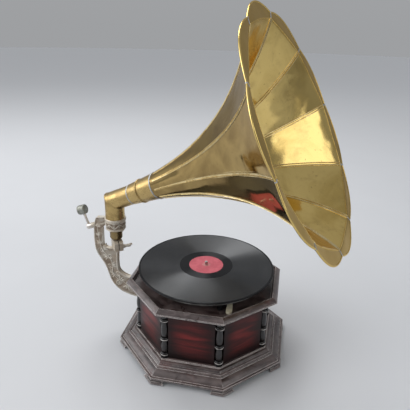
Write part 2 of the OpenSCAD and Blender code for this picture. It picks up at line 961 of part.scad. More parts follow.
module clamp_screw() {
    hub_d = 2.2 * clamp_d;
    tip = pass_clear + clamp_d / 2 * tan(clamp_slope);
    hub_from = stub_len + pass_clear;
    stud_d = clamp_arm_d * 1.1;
    color(steel)
        clamp_frame() {
            translate([0, 0, tip])
                cylinder(d = clamp_d, h = clamp_len - tip);
            translate([0, 0, hub_from])
                cylinder(d = hub_d, h = clamp_len + clamp_arm_d / 2 + 1 - hub_from);
            translate([0, 0, clamp_len])
                rotate([0, 90, 0])
                    cylinder(d = clamp_arm_d, h = clamp_arm + knob_pin_d / 2);
            translate([clamp_arm, 0, clamp_len]) {
                cylinder(d = knob_pin_d, h = knob_len / 2 + 1);
                translate([0, 0, knob_len / 2])
                    cylinder(d1 = stud_d, d2 = stud_d * 0.6, h = stud_d / 2);
            }
        }
}

// A round grip, drilled across for the arm's end and along for the pin that holds it
module clamp_knob() {
    r = knob_d / 2;
    ease = 2.5;
    color(iron)
        clamp_frame()
            translate([clamp_arm, 0, clamp_len])
                difference() {
                    translate([0, 0, -knob_len / 2])
                        rotate_extrude()
                            polygon(concat(
                                [[0, 0]],
                                bow([r - ease, 0], [r, ease], -0.6),
                                bow([r, knob_len - ease], [r - ease, knob_len], -0.6),
                                [[0, knob_len]]
                            ));
                    cylinder(d = knob_pin_d, h = knob_len);
                    translate([-knob_d, 0, 0])
                        rotate([0, 90, 0])
                            cylinder(d = clamp_arm_d, h = knob_d + knob_pin_d / 2);
                }
}

// Frame of the horn: its origin at the elbow's bend, +Z along the horn and -X towards its top
module horn_frame() {
    translate([socket_x, 0, bend_z])
        rotate([0, 90 - horn_rise, horn_turn])
            children();
}

// Frame of the mitre through the bend: +Z on the horn's side
module mitre_frame() {
    translate([socket_x, 0, bend_z])
        rotate([0, (90 - horn_rise) / 2, horn_turn])
            children();
}

module below_mitre() {
    mitre_frame()
        translate([0, 0, (solder_gap - mitre_reach) / 2])
            cube(mitre_reach, center = true);
}

module above_mitre() {
    mitre_frame()
        translate([0, 0, (mitre_reach - solder_gap) / 2])
            cube(mitre_reach, center = true);
}

module elbow_tube(h) {
    linear_extrude(h)
        difference() {
            circle(d = elbow_d);
            circle(d = elbow_d - 2 * tube_t);
        }
}

// Half the section of the elbow's upright leg: a narrow end in the socket and the full tube above it
module leg_profile() {
    step = socket_z - collar_h + pass_clear;
    end = entry_d / 2;
    full = elbow_d / 2;
    top = bend_z + elbow_d;
    polygon([
        [end - tube_t, seat_z + pass_clear],
        [end, seat_z + pass_clear],
        [end, step],
        [full, step],
        [full, top],
        [full - tube_t, top],
        [full - tube_t, step + tube_t],
        [end - tube_t, step + tube_t]
    ]);
}

// Two tubes soldered at the mitre: an upright leg in the socket and a leg along the horn
module horn_elbow() {
    color(brass) {
        difference() {
            at_socket(0)
                rotate_extrude()
                    leg_profile();
            above_mitre();
        }
        difference() {
            horn_frame()
                translate([0, 0, -elbow_d])
                    elbow_tube(elbow_d + ferrule_at + spigot_len);
            below_mitre();
        }
    }
}

module neck_ferrule() {
    inside = elbow_d / 2 + run_clear;
    outside = inside + tube_t;
    end = throat_r + sheet_t / 2;
    color(brass)
        horn_frame()
            translate([0, 0, ferrule_at])
                rotate_extrude() {
                    polygon([
                        [inside, 0],
                        [outside, 0],
                        [outside + (end - outside) * bead_at / ferrule_len, bead_at],
                        [end, ferrule_len],
                        [end - tube_t, ferrule_len],
                        [inside, spigot_len + 1]
                    ]);
                    translate([outside + (end - outside) * bead_at / ferrule_len, bead_at])
                        circle(r = bead_r);
                }
}

module solder_bands() {
    color([0.8, 0.78, 0.7])
        horn_frame()
            for (band = [[ferrule_at - bead_r, elbow_d / 2], [petal_at - bead_r, throat_r + sheet_t / 2]])
                translate([0, 0, band[0]])
                    rotate_extrude()
                        translate([band[1] + band_clear, 0])
                            intersection() {
                                circle(r = bead_r);
                                translate([0, -bead_r])
                                    square(2 * bead_r);
                            }
}

// Radius of the bell at a distance from the throat, as far as the lip's bend
function bell_r(z) = bend_r - growth * (1 - exp(flare * (z - bell_len)));

// Slope of the bell at a distance from the throat
function bell_slope(z) = growth * flare * exp(flare * (z - bell_len));

// How much of the petals' flatness shows at a distance from the throat
function flat_share(z) = petal_flat * min(1, max(0, (z - flat_from) / (bell_len * 0.45)));

// Radius across a petal, from a seam at 1 through its middle at 0, for a mean radius and a flatness
function petal_r(r, across, flat) =
    let (chord = 1 - cos(half_petal) / cos(half_petal * across))
    r * (1 - flat * chord) / (1 - flat * (1 - cos(half_petal)) / 2);

// Distance of a row from the throat, with the rows closer together towards the mouth
function row_z(row) = bell_len * (1 - (1 - min(row, bell_rows) / bell_rows) ^ 1.5);

function row_lip(row) = max(0, row - bell_rows) / lip_rows;

// A point of a petal at a distance from the throat and a share of the lip, off its middle surface
function petal_point(z, lip, across, turn, off) =
    let (inner = petal_r(bell_r(z), across, flat_share(z)))
    let (outer = rim_r + lobe * cos(90 * across))
    let (r = inner + (outer - inner) * lip)
    let (slope = lip > 0 ? (outer - inner) / lip_rise : bell_slope(z))
    let (normal = [1, -slope] / norm([1, slope]))
    let (spot = [r, petal_at + z + lip_rise * lip] + normal * off)
    [spot[0] * cos(turn), spot[0] * sin(turn), spot[1]];

function row_thickness(row) = row >= bell_rows + lip_rows - 1 ? rim_roll : sheet_t;

function seam_bearing(i) = 180 - seam_turn - 2 * half_petal * i;

// The angle that an arc of a length takes up at a seam
function arc_angle(length, z, lip) = length / petal_point(z, lip, 1, 0, 0)[0] * 180 / PI;

module petal(i) {
    rows = bell_rows + lip_rows;
    function side_points(side) = [for (row = [0:rows], k = [0:petal_cols])
        let (z = row_z(row), lip = row_lip(row))
        let (across = (2 * k / petal_cols - 1) * (1 - arc_angle(seam_gap, z, lip) / half_petal))
        let (turn = seam_bearing(i) + half_petal * (across + 1))
        petal_point(z, lip, across, turn, side * row_thickness(row) / 2)];
    horn_frame()
        polyhedron(concat(side_points(1), side_points(-1)), shell_faces(rows, petal_cols));
}

module horn_petal(i) {
    color(brass)
        petal(i);
}

// A raised seam lies over the joint of two petals from the throat to the lip's bend
module horn_seams() {
    function strip(i, off) = [for (row = [0:bell_rows], k = [-1:1])
        let (z = max(row_z(row), seam_start), turn = k * arc_angle(seam_w / 2, z, 0))
        petal_point(z, 0, 1 - abs(turn) / half_petal, seam_bearing(i) + turn, sheet_t / 2 + off)];
    color(brass)
        horn_frame()
            for (i = [0:petals - 1])
                polyhedron(concat(strip(i, seam_h), strip(i, run_clear)), shell_faces(bell_rows, 2));
}

module platter() {
    hub_d = 3 * spindle_d;
    color(iron)
        difference() {
            union() {
                translate([0, 0, platter_z - skirt_h])
                    cylinder(d = platter_d, h = skirt_h);
                translate([0, 0, platter_z - skirt_h + 1])
                    cylinder(d = hub_d, h = skirt_h - 1);
            }
            difference() {
                translate([0, 0, platter_z - skirt_h - 1])
                    cylinder(r = skirt_r, h = skirt_h + 1 - platter_t);
                translate([0, 0, platter_z - skirt_h + 1])
                    cylinder(d = hub_d, h = skirt_h);
            }
            cylinder(d = spindle_d + 2 * run_clear, h = platter_z + 1);
        }
}

module felt() {
    color([0.2, 0.25, 0.18])
        translate([0, 0, platter_z])
            difference() {
                cylinder(d = platter_d - 2 * felt_margin, h = felt_t);
                translate([0, 0, -over])
                    cylinder(d = felt_hole_d, h = felt_t + 2 * over);
            }
}

module record() {
    bead = record_t * 0.4;
    color([0.05, 0.05, 0.06])
        rotate_extrude()
            polygon([
                [record_hole_d / 2, felt_z],
                [record_d / 2 - bead, felt_z],
                [record_d / 2, felt_z + bead],
                [record_d / 2, record_z - bead],
                [record_d / 2 - bead, record_z],
                [label_d / 2, record_z],
                [label_d / 2, record_z - label_t],
                [record_hole_d / 2, record_z - label_t]
            ]);
}

module record_label() {
    color([0.6, 0.16, 0.2])
        translate([0, 0, record_z - label_t])
            difference() {
                cylinder(d = label_d - 2 * label_play, h = label_t);
                translate([0, 0, -over])
                    cylinder(d = record_hole_d, h = label_t + 2 * over);
            }
}

module spindle() {
    color(steel) {
        translate([0, 0, plate_bottom + spindle_play])
            cylinder(d = spindle_d, h = platter_z - plate_bottom - spindle_play);
        translate([0, 0, platter_z - 1])
            cylinder(d = record_hole_d - 2 * run_clear, h = record_z + tip_step - platter_z + 1);
        translate([0, 0, record_z])
            cylinder(d = spindle_tip_d, h = spindle_tip_h - tip_ease);
        translate([0, 0, spindle_top - tip_ease])
            cylinder(d1 = spindle_tip_d, d2 = spindle_tip_d - 2 * tip_ease, h = tip_ease);
    }
}

// A spur wheel at a height, turned so that a tooth points along a bearing, with a bore for its shaft
module spur_wheel(teeth, module_mm, bearing, z, t, bore) {
    translate([0, 0, z])
        difference() {
            rotate(bearing)
                linear_extrude(t)
                    polygon(wheel_outline(teeth, module_mm));
            translate([0, 0, -1])
                cylinder(d = bore, h = t + 2);
        }
}

module spindle_pinion() {
    color(steel)
        spur_wheel(pinion_teeth, tooth_m, middle_bearing, middle_z - 1, wheel_t + 2, spindle_d);
}

module worm_wheel() {
    color(brass)
        spur_wheel(worm_teeth, worm_m, 0, worm_z - worm_wheel_t / 2, worm_wheel_t, spindle_d);
}

// Frame of the brake: its origin at the pivot on the deck, +X outward under the record
module brake_frame() {
    rotate(brake_bearing)
        translate([brake_reach, 0, deck_z])
            children();
}

module brake_lever() {
    pad_x = brake_pad_x();
    heel = -brake_arm - brake_post_w / 2;
    bend = [brake_t / 3, -brake_arm * 0.6];
    half = [brake_post_w / 2, 0];
    color(steel)
        brake_frame() {
            translate([0, 0, -deck_t + 1])
                cylinder(d = pivot_d - 2 * run_clear, h = deck_t);
            translate([0, 0, pass_clear]) {
                cylinder(d = 2.4 * pivot_d, h = brake_t);
                rotate(grip_turn)
                    translate([0, -tang_w / 2, 0])
                        cube([grip_tang, tang_w, brake_t]);
                linear_extrude(brake_t)
                    polygon([
                        [pivot_d * 0.4, 0],
                        [-pivot_d, 0],
                        bend - half,
                        [pad_x - 2 * brake_t, heel],
                        [pad_x, heel],
                        [pad_x, heel + brake_post_w],
                        bend + half
                    ]);
                translate([pad_x - brake_t, heel, 0])
                    cube([brake_t, brake_post_w, platter_z - skirt_h / 2 - deck_z]);
            }
        }
}

// Where the outer face of the pad's post stands, from the pivot
function brake_pad_x() =
    sqrt((skirt_r - brake_gap) ^ 2 - (brake_arm + brake_post_w / 2) ^ 2) - brake_reach - brake_pad_t;

module brake_pad() {
    color([0.35, 0.25, 0.15])
        brake_frame()
            translate([brake_pad_x(), -brake_arm - brake_post_w / 2, platter_z - skirt_h + 1 - deck_z])
                cube([brake_pad_t, brake_post_w, skirt_h / 2 - 1]);
}

module brake_grip() {
    r = brake_grip_w / 2;
    color([0.85, 0.8, 0.66])
        brake_frame()
            rotate(grip_turn)
                translate([0, 0, pass_clear])
                    difference() {
                        linear_extrude(brake_t + 2)
                            polygon(concat(
                                bow([grip_from, -r * 0.7], [brake_len - r, -r], -0.8),
                                [for (turn = [-75:15:75]) [brake_len - r, 0] + r * [cos(turn), sin(turn)]],
                                bow([brake_len - r, r], [grip_from, r * 0.7], -0.8)
                            ));
                        translate([0, -tang_w / 2, -over])
                            cube([grip_tang, tang_w, brake_t + over]);
                    }
}

module plate_shape() {
    polygon([for (p = pillars) p * (1 + plate_edge / norm(p))]);
}

module arbor_bores(z) {
    translate([0, 0, z - 1]) {
        cylinder(d = spindle_d + 2 * run_clear, h = plate_t + 2);
        translate(barrel_at)
            cylinder(d = pivot_d + 2 * run_clear, h = plate_t + 2);
        translate(middle_at)
            cylinder(d = pivot_d + 2 * run_clear, h = plate_t + 2);
    }
}

module motor_top_plate() {
    color(iron)
        difference() {
            translate([0, 0, plate_top])
                linear_extrude(plate_t)
                    plate_shape();
            arbor_bores(plate_top);
        }
}

module motor_bottom_plate() {
    color(iron)
        difference() {
            translate([0, 0, plate_bottom - plate_t])
                linear_extrude(plate_t)
                    plate_shape();
            translate(barrel_at)
                translate([0, 0, plate_bottom - plate_t - 1])
                    cylinder(d = pivot_d + 2 * run_clear, h = plate_t + 2);
            translate(middle_at)
                translate([0, 0, plate_bottom - plate_t - 1])
                    cylinder(d = pivot_d + 2 * run_clear, h = plate_t + 2);
        }
}

module motor_pillars() {
    color(steel)
        for (p = pillars)
            translate([p[0], p[1], plate_bottom])
                cylinder(d = pillar_d, h = plate_gap);
}

module motor_washers() {
    color([0.2, 0.2, 0.2])
        for (p = pillars)
            translate([p[0], p[1], motor_top])
                cylinder(d = washer_d, h = washer_t);
}

module spring_barrel() {
    great_turn = great_bearing + 180 + 180 / great_teeth;
    color(brass)
        translate(barrel_at)
            difference() {
                union() {
                    translate([0, 0, barrel_z])
                        cylinder(d = barrel_d, h = barrel_h);
                    spur_wheel(great_teeth, tooth_m, great_turn, great_z, wheel_t, arbor_d);
                }
                translate([0, 0, barrel_z + barrel_t])
                    cylinder(d = barrel_d - 2 * barrel_t, h = barrel_h - 2 * barrel_t);
                translate([0, 0, barrel_z - 1])
                    cylinder(d = arbor_d + 2 * run_clear, h = barrel_h + wheel_t + 2);
            }
}

module mainspring() {
    steps = 16;
    first = arbor_d / 2 + pass_clear + spring_t / 2;
    last = barrel_d / 2 - barrel_t - pass_clear - spring_t / 2;
    spiral = [for (i = [0:spring_turns * steps])
        let (t = i / (spring_turns * steps), angle = 360 * i / steps)
        [first + (last - first) * t, angle]];
    color(steel)
        translate([barrel_at[0], barrel_at[1], barrel_z + barrel_t])
            linear_extrude(barrel_h - 2 * barrel_t)
                polygon(concat(
                    [for (p = spiral) (p[0] + spring_t / 2) * [cos(p[1]), sin(p[1])]],
                    [for (i = [len(spiral) - 1:-1:0])
                        let (p = spiral[i])
                        (p[0] - spring_t / 2) * [cos(p[1]), sin(p[1])]]
                ));
}

module barrel_arbor() {
    color(steel)
        translate(barrel_at) {
            translate([0, 0, plate_bottom - plate_t])
                cylinder(d = pivot_d, h = plate_gap + 2 * plate_t);
            translate([0, 0, plate_bottom + pass_clear])
                cylinder(d = arbor_d, h = winding_z - pinion_r - plate_bottom - pass_clear);
            translate([0, 0, barrel_z - pass_clear - arbor_flange_t])
                cylinder(d = arbor_flange_d, h = arbor_flange_t);
        }
}

// A bevel wheel on the Z axis with its cone's apex at the origin, meshing with one whose axis is square to it
module bevel_gear(teeth, mate_teeth, bearing, bore) {
    cone_h = mate_teeth * tooth_m / 2;
    face_h = bevel_share * cone_h;
    translate([0, 0, -cone_h])
        difference() {
            rotate(bearing)
                linear_extrude(face_h, scale = 1 - bevel_share)
                    polygon(wheel_outline(teeth, tooth_m, bevel_addendum));
            translate([0, 0, -1])
                cylinder(d = bore, h = face_h + 2);
        }
}

module bevel_wheel() {
    color(steel)
        translate([barrel_at[0], barrel_at[1], winding_z])
            bevel_gear(bevel_teeth, pinion_teeth, 90 + 180 / bevel_teeth, pivot_d);
}

module middle_arbor() {
    color(steel)
        translate(middle_at) {
            translate([0, 0, plate_bottom - plate_t])
                cylinder(d = pivot_d, h = plate_gap + 2 * plate_t);
            spur_wheel(pinion_teeth, tooth_m, great_bearing, great_z - 1, wheel_t + 2, pivot_d - 1);
        }
}

module middle_wheel() {
    turn = middle_bearing + 180 + 180 / middle_teeth;
    color(brass)
        translate(middle_at)
            spur_wheel(middle_teeth, tooth_m, turn, middle_z, wheel_t, pivot_d);
}

// Frame of the governor: +Z along its shaft, with the worm at the origin
module governor_frame() {
    translate([0, governor_y, worm_z])
        rotate([0, 90, 0])
            children();
}

module governor_shaft() {
    worm_len = 20;
    collar_t = 4;
    lead = worm_starts * PI * worm_m;
    color(steel)
        governor_frame() {
            translate([0, 0, -governor_back])
                cylinder(d = governor_d, h = governor_back + governor_front);
            translate([0, 0, -worm_len / 2])
                linear_extrude(worm_len, twist = -360 * worm_len / lead, slices = 14)
                    polygon([for (a = [0:15:345])
                        let (r = worm_r + worm_lobe * cos(worm_starts * a))
                        r * [cos(a), sin(a)]]);
            for (z = [weight_z - leaf_half, weight_z + leaf_half - collar_t])
                translate([0, 0, z])
                    cylinder(r = leaf_r, h = collar_t);
            translate([0, 0, weight_z + leaf_half])
                cylinder(d = disc_d, h = disc_t);
        }
}

module governor_weights() {
    leaf = 0.5;
    color(brass)
        governor_frame()
            for (turn = [0:120:240])
                rotate(turn) {
                    translate([weight_r, 0, weight_z])
                        sphere(d = weight_d);
                    rotate([90, 0, 0])
                        linear_extrude(leaf_w, center = true)
                            polygon([
                                [leaf_r + leaf, weight_z - leaf_half],
                                [weight_r + leaf, weight_z - leaf_w],
                                [weight_r + leaf, weight_z + leaf_w],
                                [leaf_r + leaf, weight_z + leaf_half],
                                [leaf_r, weight_z + leaf_half],
                                [weight_r, weight_z + leaf_w],
                                [weight_r, weight_z - leaf_w],
                                [leaf_r, weight_z - leaf_half]
                            ]);
                }
}

module governor_posts() {
    post_t = 6;
    post_half = 6;
    color(iron)
        for (z = [-governor_back, governor_front - post_t])
            difference() {
                translate([z, governor_y - post_half, plate_bottom])
                    cube([post_t, 2 * post_half, worm_z - plate_bottom + post_half]);
                governor_frame()
                    translate([0, 0, z - 1])
                        cylinder(d = governor_d + 2 * run_clear, h = post_t + 2);
            }
}

// Frame of the winding shaft: its origin on the barrel's axis, +Z out through the wall
module winding_frame() {
    translate([barrel_at[0], barrel_at[1], winding_z])
        rotate([-90, 0, 0])
            children();
}

module winding_shaft() {
    color(steel)
        winding_frame() {
            difference() {
                translate([0, 0, bevel_r - over])
                    cylinder(d = shaft_d, h = winding_len - bevel_r + over + shaft_out);
                translate([0, 0, winding_len - stem_in - 2])
                    cylinder(d = stem_core, h = 2 * stem_in);
            }
            rotate([180, 0, 0])
                bevel_gear(pinion_teeth, bevel_teeth, -90, pivot_d);
        }
}

module winding_bearing() {
    block = 10;
    color(iron)
        difference() {
            translate([barrel_at[0] - bearing_half, barrel_at[1] + bearing_at, winding_z - bearing_half])
                cube([2 * bearing_half, block, plate_top - winding_z + bearing_half]);
            winding_frame()
                translate([0, 0, bearing_at - 1])
                    cylinder(d = shaft_d + 2 * run_clear, h = block + 2);
        }
}

module wall_bush() {
    color(brass)
        winding_frame()
            difference() {
                union() {
                    translate([0, 0, winding_len - wall_t])
                        cylinder(d = bush_d, h = wall_t);
                    translate([0, 0, winding_len])
                        cylinder(d = bush_flange_d, h = bush_flange_t);
                }
                translate([0, 0, winding_len - wall_t - over])
                    cylinder(d = shaft_d + 2 * run_clear, h = wall_t + bush_flange_t + 2 * over);
            }
}

// The crank is one bent rod: a stem in the winding shaft, an arm and a pin for the grip
module crank_rod() {
    bend = crank_d;
    color(steel)
        winding_frame() {
            translate([0, 0, winding_len - stem_in])
                cylinder(d = stem_core, h = stem_in + 2 * shaft_out);
            translate([0, 0, winding_len + shaft_out + stem_play])
                cylinder(d = crank_d, h = crank_out - bend - shaft_out - stem_play);
            translate([0, 0, winding_len + crank_out - bend])
                rod_bend(bend);
            translate([0, bend, winding_len + crank_out])
                rotate([-90, 0, 0])
                    cylinder(d = crank_d, h = crank_arm - 2 * bend);
            translate([0, crank_arm, winding_len + crank_out + bend])
                rotate([180, 0, 0])
                    rod_bend(bend);
            translate([0, crank_arm, winding_len + crank_out + bend])
                cylinder(d = crank_pin_d, h = grip_len + pin_head_t + over);
            translate([0, crank_arm, winding_len + crank_out + bend + grip_len + over])
                cylinder(d = crank_d * 1.3, h = pin_head_t);
        }
}

// A quarter bend that leads from +Z into +Y
module rod_bend(radius) {
    translate([0, radius, 0])
        rotate([90, 0, -90])
            rotate_extrude(angle = 90)
                translate([radius, 0])
                    circle(d = crank_d);
}

module crank_grip() {
    r = grip_d / 2;
    hole = crank_pin_d / 2 + run_clear;
    color([0.3, 0.17, 0.08])
        winding_frame()
            translate([0, crank_arm, winding_len + crank_out + crank_d + pass_clear])
                rotate_extrude()
                    polygon(concat(
                        [[hole, 0]],
                        bow([r * 0.7, 0], [r * 0.8, grip_len], -r * 0.25, 10),
                        [[hole, grip_len]]
                    ));
}

feet();
base_board();
plinth_moulding();
wall_panels();
top_frame();
deck_board();
corner_columns();
bracket();
bracket_screws();
wing_screw();
tone_arm_socket();
clamp_screw();
clamp_knob();
horn_elbow();
neck_ferrule();
solder_bands();
horn_seams();
for (i = [1:petals])
    horn_petal(i);
platter();
felt();
record();
record_label();
spindle();
spindle_pinion();
worm_wheel();
brake_lever();
brake_grip();
brake_pad();
motor_top_plate();
motor_bottom_plate();
motor_pillars();
motor_washers();
spring_barrel();
mainspring();
barrel_arbor();
bevel_wheel();
middle_arbor();
middle_wheel();
governor_shaft();
governor_weights();
governor_posts();
winding_shaft();
winding_bearing();
wall_bush();
crank_rod();
crank_grip();
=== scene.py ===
"""Table gramophone: a brass petal horn, a cast bracket and an octagonal mahogany case on a pale stage."""
import json
import math

import bpy
import numpy as np
from mathutils import Matrix, Vector, noise


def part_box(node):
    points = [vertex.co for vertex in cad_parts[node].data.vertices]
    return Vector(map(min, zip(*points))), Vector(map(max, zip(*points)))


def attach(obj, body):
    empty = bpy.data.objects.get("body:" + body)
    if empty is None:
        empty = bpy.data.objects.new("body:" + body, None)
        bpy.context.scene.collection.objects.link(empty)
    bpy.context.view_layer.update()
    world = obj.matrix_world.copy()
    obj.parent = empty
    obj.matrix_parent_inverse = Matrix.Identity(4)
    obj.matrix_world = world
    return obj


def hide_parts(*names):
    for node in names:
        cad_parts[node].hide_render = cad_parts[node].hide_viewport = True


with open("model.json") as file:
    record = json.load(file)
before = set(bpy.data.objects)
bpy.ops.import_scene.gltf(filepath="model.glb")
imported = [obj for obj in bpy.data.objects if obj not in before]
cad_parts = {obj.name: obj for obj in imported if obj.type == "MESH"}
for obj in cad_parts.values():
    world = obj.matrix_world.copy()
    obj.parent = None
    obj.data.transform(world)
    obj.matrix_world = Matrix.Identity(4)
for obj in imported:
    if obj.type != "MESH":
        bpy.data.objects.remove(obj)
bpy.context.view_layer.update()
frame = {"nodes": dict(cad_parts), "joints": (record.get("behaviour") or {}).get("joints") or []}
nodes = frame["nodes"]
joints = {joint["name"]: joint for joint in frame["joints"]}
MM = 0.001

# Horn sizes, in millimetres and degrees
PETALS = 10
HORN_RISE = 26
HORN_TURN = -12.7
PETAL_AT = 126.58
THROAT_R = 28
BEND_R = 203
BELL_LEN = 321.5
FLARE = 0.0067
LIP_RISE = 1.5
RIM_R = 216
LOBE = 11
SEAM_TURN = 12.4
SHEET_T = 1.2
RIM_ROLL_R = 1.6
FERRULE_AT = 57.5
ELBOW_R = 21.5
HALF_PETAL = math.pi / PETALS
GROWTH = (BEND_R - THROAT_R) / (1 - math.exp(-FLARE * BELL_LEN))

# How flat a petal gets, where it starts to, and over what share of the bell's length
PETAL_FLAT = 0.75
FLAT_FROM = 20
FLAT_REACH = 0.45

# Places taken from the joints and the solids, in millimetres
ELBOW_SUNK = 17.7
BAND_DROP = 15.9
bend = Vector(joints["horn_turn"]["pos_m"]) / MM
bend_frame = Matrix.Translation(bend) @ Matrix.Rotation(math.radians(HORN_TURN), 4, "Z")
horn_frame = bend_frame @ Matrix.Rotation(math.radians(90 - HORN_RISE), 4, "Y")
SOCKET_X = bend.x
SOCKET_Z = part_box("horn_elbow")[0].z / MM + ELBOW_SUNK
SOCKET_OUT = 21.95
BAND_Z = SOCKET_Z - BAND_DROP
BAND_HALF = 7.6
ARM_HALF = 6
WALL_X = -149

# Levels on the case, in metres: the middle beads of a column's three groups of rings, and the panels' middle
FOOT_RING = 0.0075
WAIST_RING = 0.046
HEAD_RING = 0.020
column_low, column_high = (corner.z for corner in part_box("corner_columns"))
COLUMN_RINGS = (column_low + FOOT_RING, column_low + WAIST_RING, column_high - HEAD_RING)
PANEL_Z = (column_low + column_high) / 2

# The angle between two sides of the case, and how far apart their grain lies in the noise, in metres
SIDE_STEP = math.pi / 4
GRAIN_SHIFT = 1.7


class Nodes:
    """A node tree, with short calls to add nodes and join them."""

    def __init__(self, owner):
        owner.use_nodes = True
        self.tree = owner.node_tree
        self.tree.nodes.clear()

    def add(self, kind, settings=None, **inputs):
        """Adds a node; inputs are numbers, colours or other nodes' outputs, named as on the node."""
        node = self.tree.nodes.new("ShaderNode" + kind)
        for name, value in (settings or {}).items():
            setattr(node, name, value)
        for name, value in inputs.items():
            self.set(node, name, value)
        return node

    def set(self, node, name, value):
        """Sets one input; an underscore stands for a space, and _0, _1 and so on give the input's number."""
        key = int(name[1:]) if name[0] == "_" else name.replace("_", " ")
        socket = node.inputs[key]
        if isinstance(value, bpy.types.NodeSocket):
            self.tree.links.new(value, socket)
        elif isinstance(value, tuple) and len(value) == 3 and socket.type == "RGBA":
            socket.default_value = (*value, 1)
        else:
            socket.default_value = value

    def ramp(self, value, low, high, first=0.0, last=1.0, curve="SMOOTHSTEP"):
        """Maps a value from low..high to first..last, clamped."""
        return self.add(
            "MapRange",
            {"interpolation_type": curve},
            Value=value, From_Min=low, From_Max=high, To_Min=first, To_Max=last,
        ).outputs[0]

    def math(self, operation, a, b=0.0):
        return self.add("Math", {"operation": operation}, _0=a, _1=b).outputs[0]

    def times(self, a, b):
        return self.math("MULTIPLY", a, b)

    def apart(self, a, b):
        """How far two numbers lie from each other."""
        return self.math("ABSOLUTE", self.math("SUBTRACT", a, b))

    def axes(self, vector):
        """The X, Y and Z of a vector."""
        return self.add("SeparateXYZ", Vector=vector).outputs


class Shader(Nodes):
    """A material with one surface shader, and calls for what materials have in common."""

    def __init__(self, name, **constants):
        self.material = bpy.data.materials.new(name)
        super().__init__(self.material)
        self.surface = self.add("BsdfPrincipled", **constants)
        self.add("OutputMaterial", Surface=self.surface.outputs[0])

    def feed(self, **inputs):
        """Sets inputs of the material's own surface shader."""
        for name, value in inputs.items():
            self.set(self.surface, name, value)

    def place(self, scale=(1, 1, 1), source=None):
        """Coordinates of the object at rest, in metres, stretched by a scale."""
        vector = source or self.add("TexCoord").outputs["Object"]
        return self.add("Mapping", Vector=vector, Scale=scale).outputs[0]

    def noise(self, vector, scale, detail=4.0, roughness=0.55, distortion=0.0):
        node = self.add(
            "TexNoise", Vector=vector, Scale=scale, Detail=detail, Roughness=roughness, Distortion=distortion
        )
        return node.outputs[0]

    def mix(self, share, a, b):
        """Blends two colours by a share."""
        return self.add("Mix", {"data_type": "RGBA"}, _0=share, _6=a, _7=b).outputs[2]

    def bump(self, height, distance, strength):
        return self.add("Bump", Height=height, Distance=distance, Strength=strength).outputs[0]

    def normal(self):
        """The direction of the face itself, without smoothing or bump."""
        return self.add("NewGeometry").outputs["True Normal"]

    def edges(self, radius):
        """How much a point lies on an outer or inner edge, from 0 to 1."""
        rounded = self.add("Bevel", {"samples": 6}, Radius=radius).outputs[0]
        match = self.add("VectorMath", {"operation": "DOT_PRODUCT"}, _0=rounded, _1=self.normal())
        return self.ramp(match.outputs["Value"], 0.99, 0.90)

    def hollows(self, reach):
        """How much a point is shut in by its neighbours, from 0 in the open to 1 in a groove."""
        node = self.add("AmbientOcclusion", {"samples": 8, "only_local": True}, Distance=reach)
        return self.ramp(node.outputs["AO"], 0.85, 0.35)

    def side_place(self):
        """Coordinates turned so that X runs out from each side of the octagon and Y runs along it."""
        source = self.add("TexCoord").outputs["Object"]
        x, y, _ = self.axes(source)
        side = self.math("ROUND", self.math("DIVIDE", self.math("ARCTAN2", y, x), SIDE_STEP))
        back = self.times(side, -SIDE_STEP)
        turned = self.add("VectorRotate", {"rotation_type": "Z_AXIS"}, Vector=source, Angle=back).outputs[0]
        shift = self.add("CombineXYZ", Z=self.times(side, GRAIN_SHIFT)).outputs[0]
        return self.add("VectorMath", {"operation": "ADD"}, _0=turned, _1=shift).outputs[0]

    def ring_distance(self):
        """Distance from the spindle, in metres."""
        place = self.add("TexCoord").outputs["Object"]
        flat = self.add("VectorMath", {"operation": "MULTIPLY"}, _0=place, _1=(1, 1, 0)).outputs[0]
        return self.add("VectorMath", {"operation": "LENGTH"}, _0=flat).outputs["Value"]


def horn_brass(name, bright, dull, film, lip, grazing):
    """Polished brass with cloudy tarnish, brown spots, painted shade along the seams, a darker lip painted as
    a dark reflection and fine polishing marks.
    """
    s = Shader(name, Metallic=1.0, Specular_Tint=grazing)
    spot_brown, painted_seam_shade = (0.13, 0.075, 0.028), (0.060, 0.040, 0.016)
    place = s.place()
    petal = s.add("UVMap", {"uv_map": "petal"}).outputs[0]
    cloud = s.ramp(s.noise(place, 8, 5, 0.6, 0.7), 0.40, 0.66)
    veil = s.ramp(s.noise(place, 27, 6, 0.65, 0.4), 0.46, 0.74)
    spots = s.ramp(s.noise(place, 190, 3, 0.5), 0.66, 0.76)
    # The lip gets its own colour; inside the horn it is darker than the bell, a painted dark reflection.
    outer = s.ramp(s.axes(petal)[1], 1.0, 1.01, 0.0, 0.75)
    aged = s.mix(s.times(veil, 0.45), s.mix(cloud, bright, dull), film)
    spotted = s.mix(s.times(spots, 0.55), s.mix(outer, aged, lip), spot_brown)
    # Painted shade: the hollows mask darkens the brass towards the seam colour wherever the sheet is shut in,
    # as beside the seams.
    s.feed(Base_Color=s.mix(s.times(s.hollows(0.004), 0.85), spotted, painted_seam_shade))
    marks = s.noise(s.place((700, 18, 1), petal), 1.0, 3, 0.6)
    gloss = s.ramp(s.math("ADD", cloud, s.times(marks, 0.35)), 0.0, 1.35, 0.06, 0.20)
    s.feed(Roughness=gloss, Normal=s.bump(marks, 0.00004, 0.25))
    return s.material


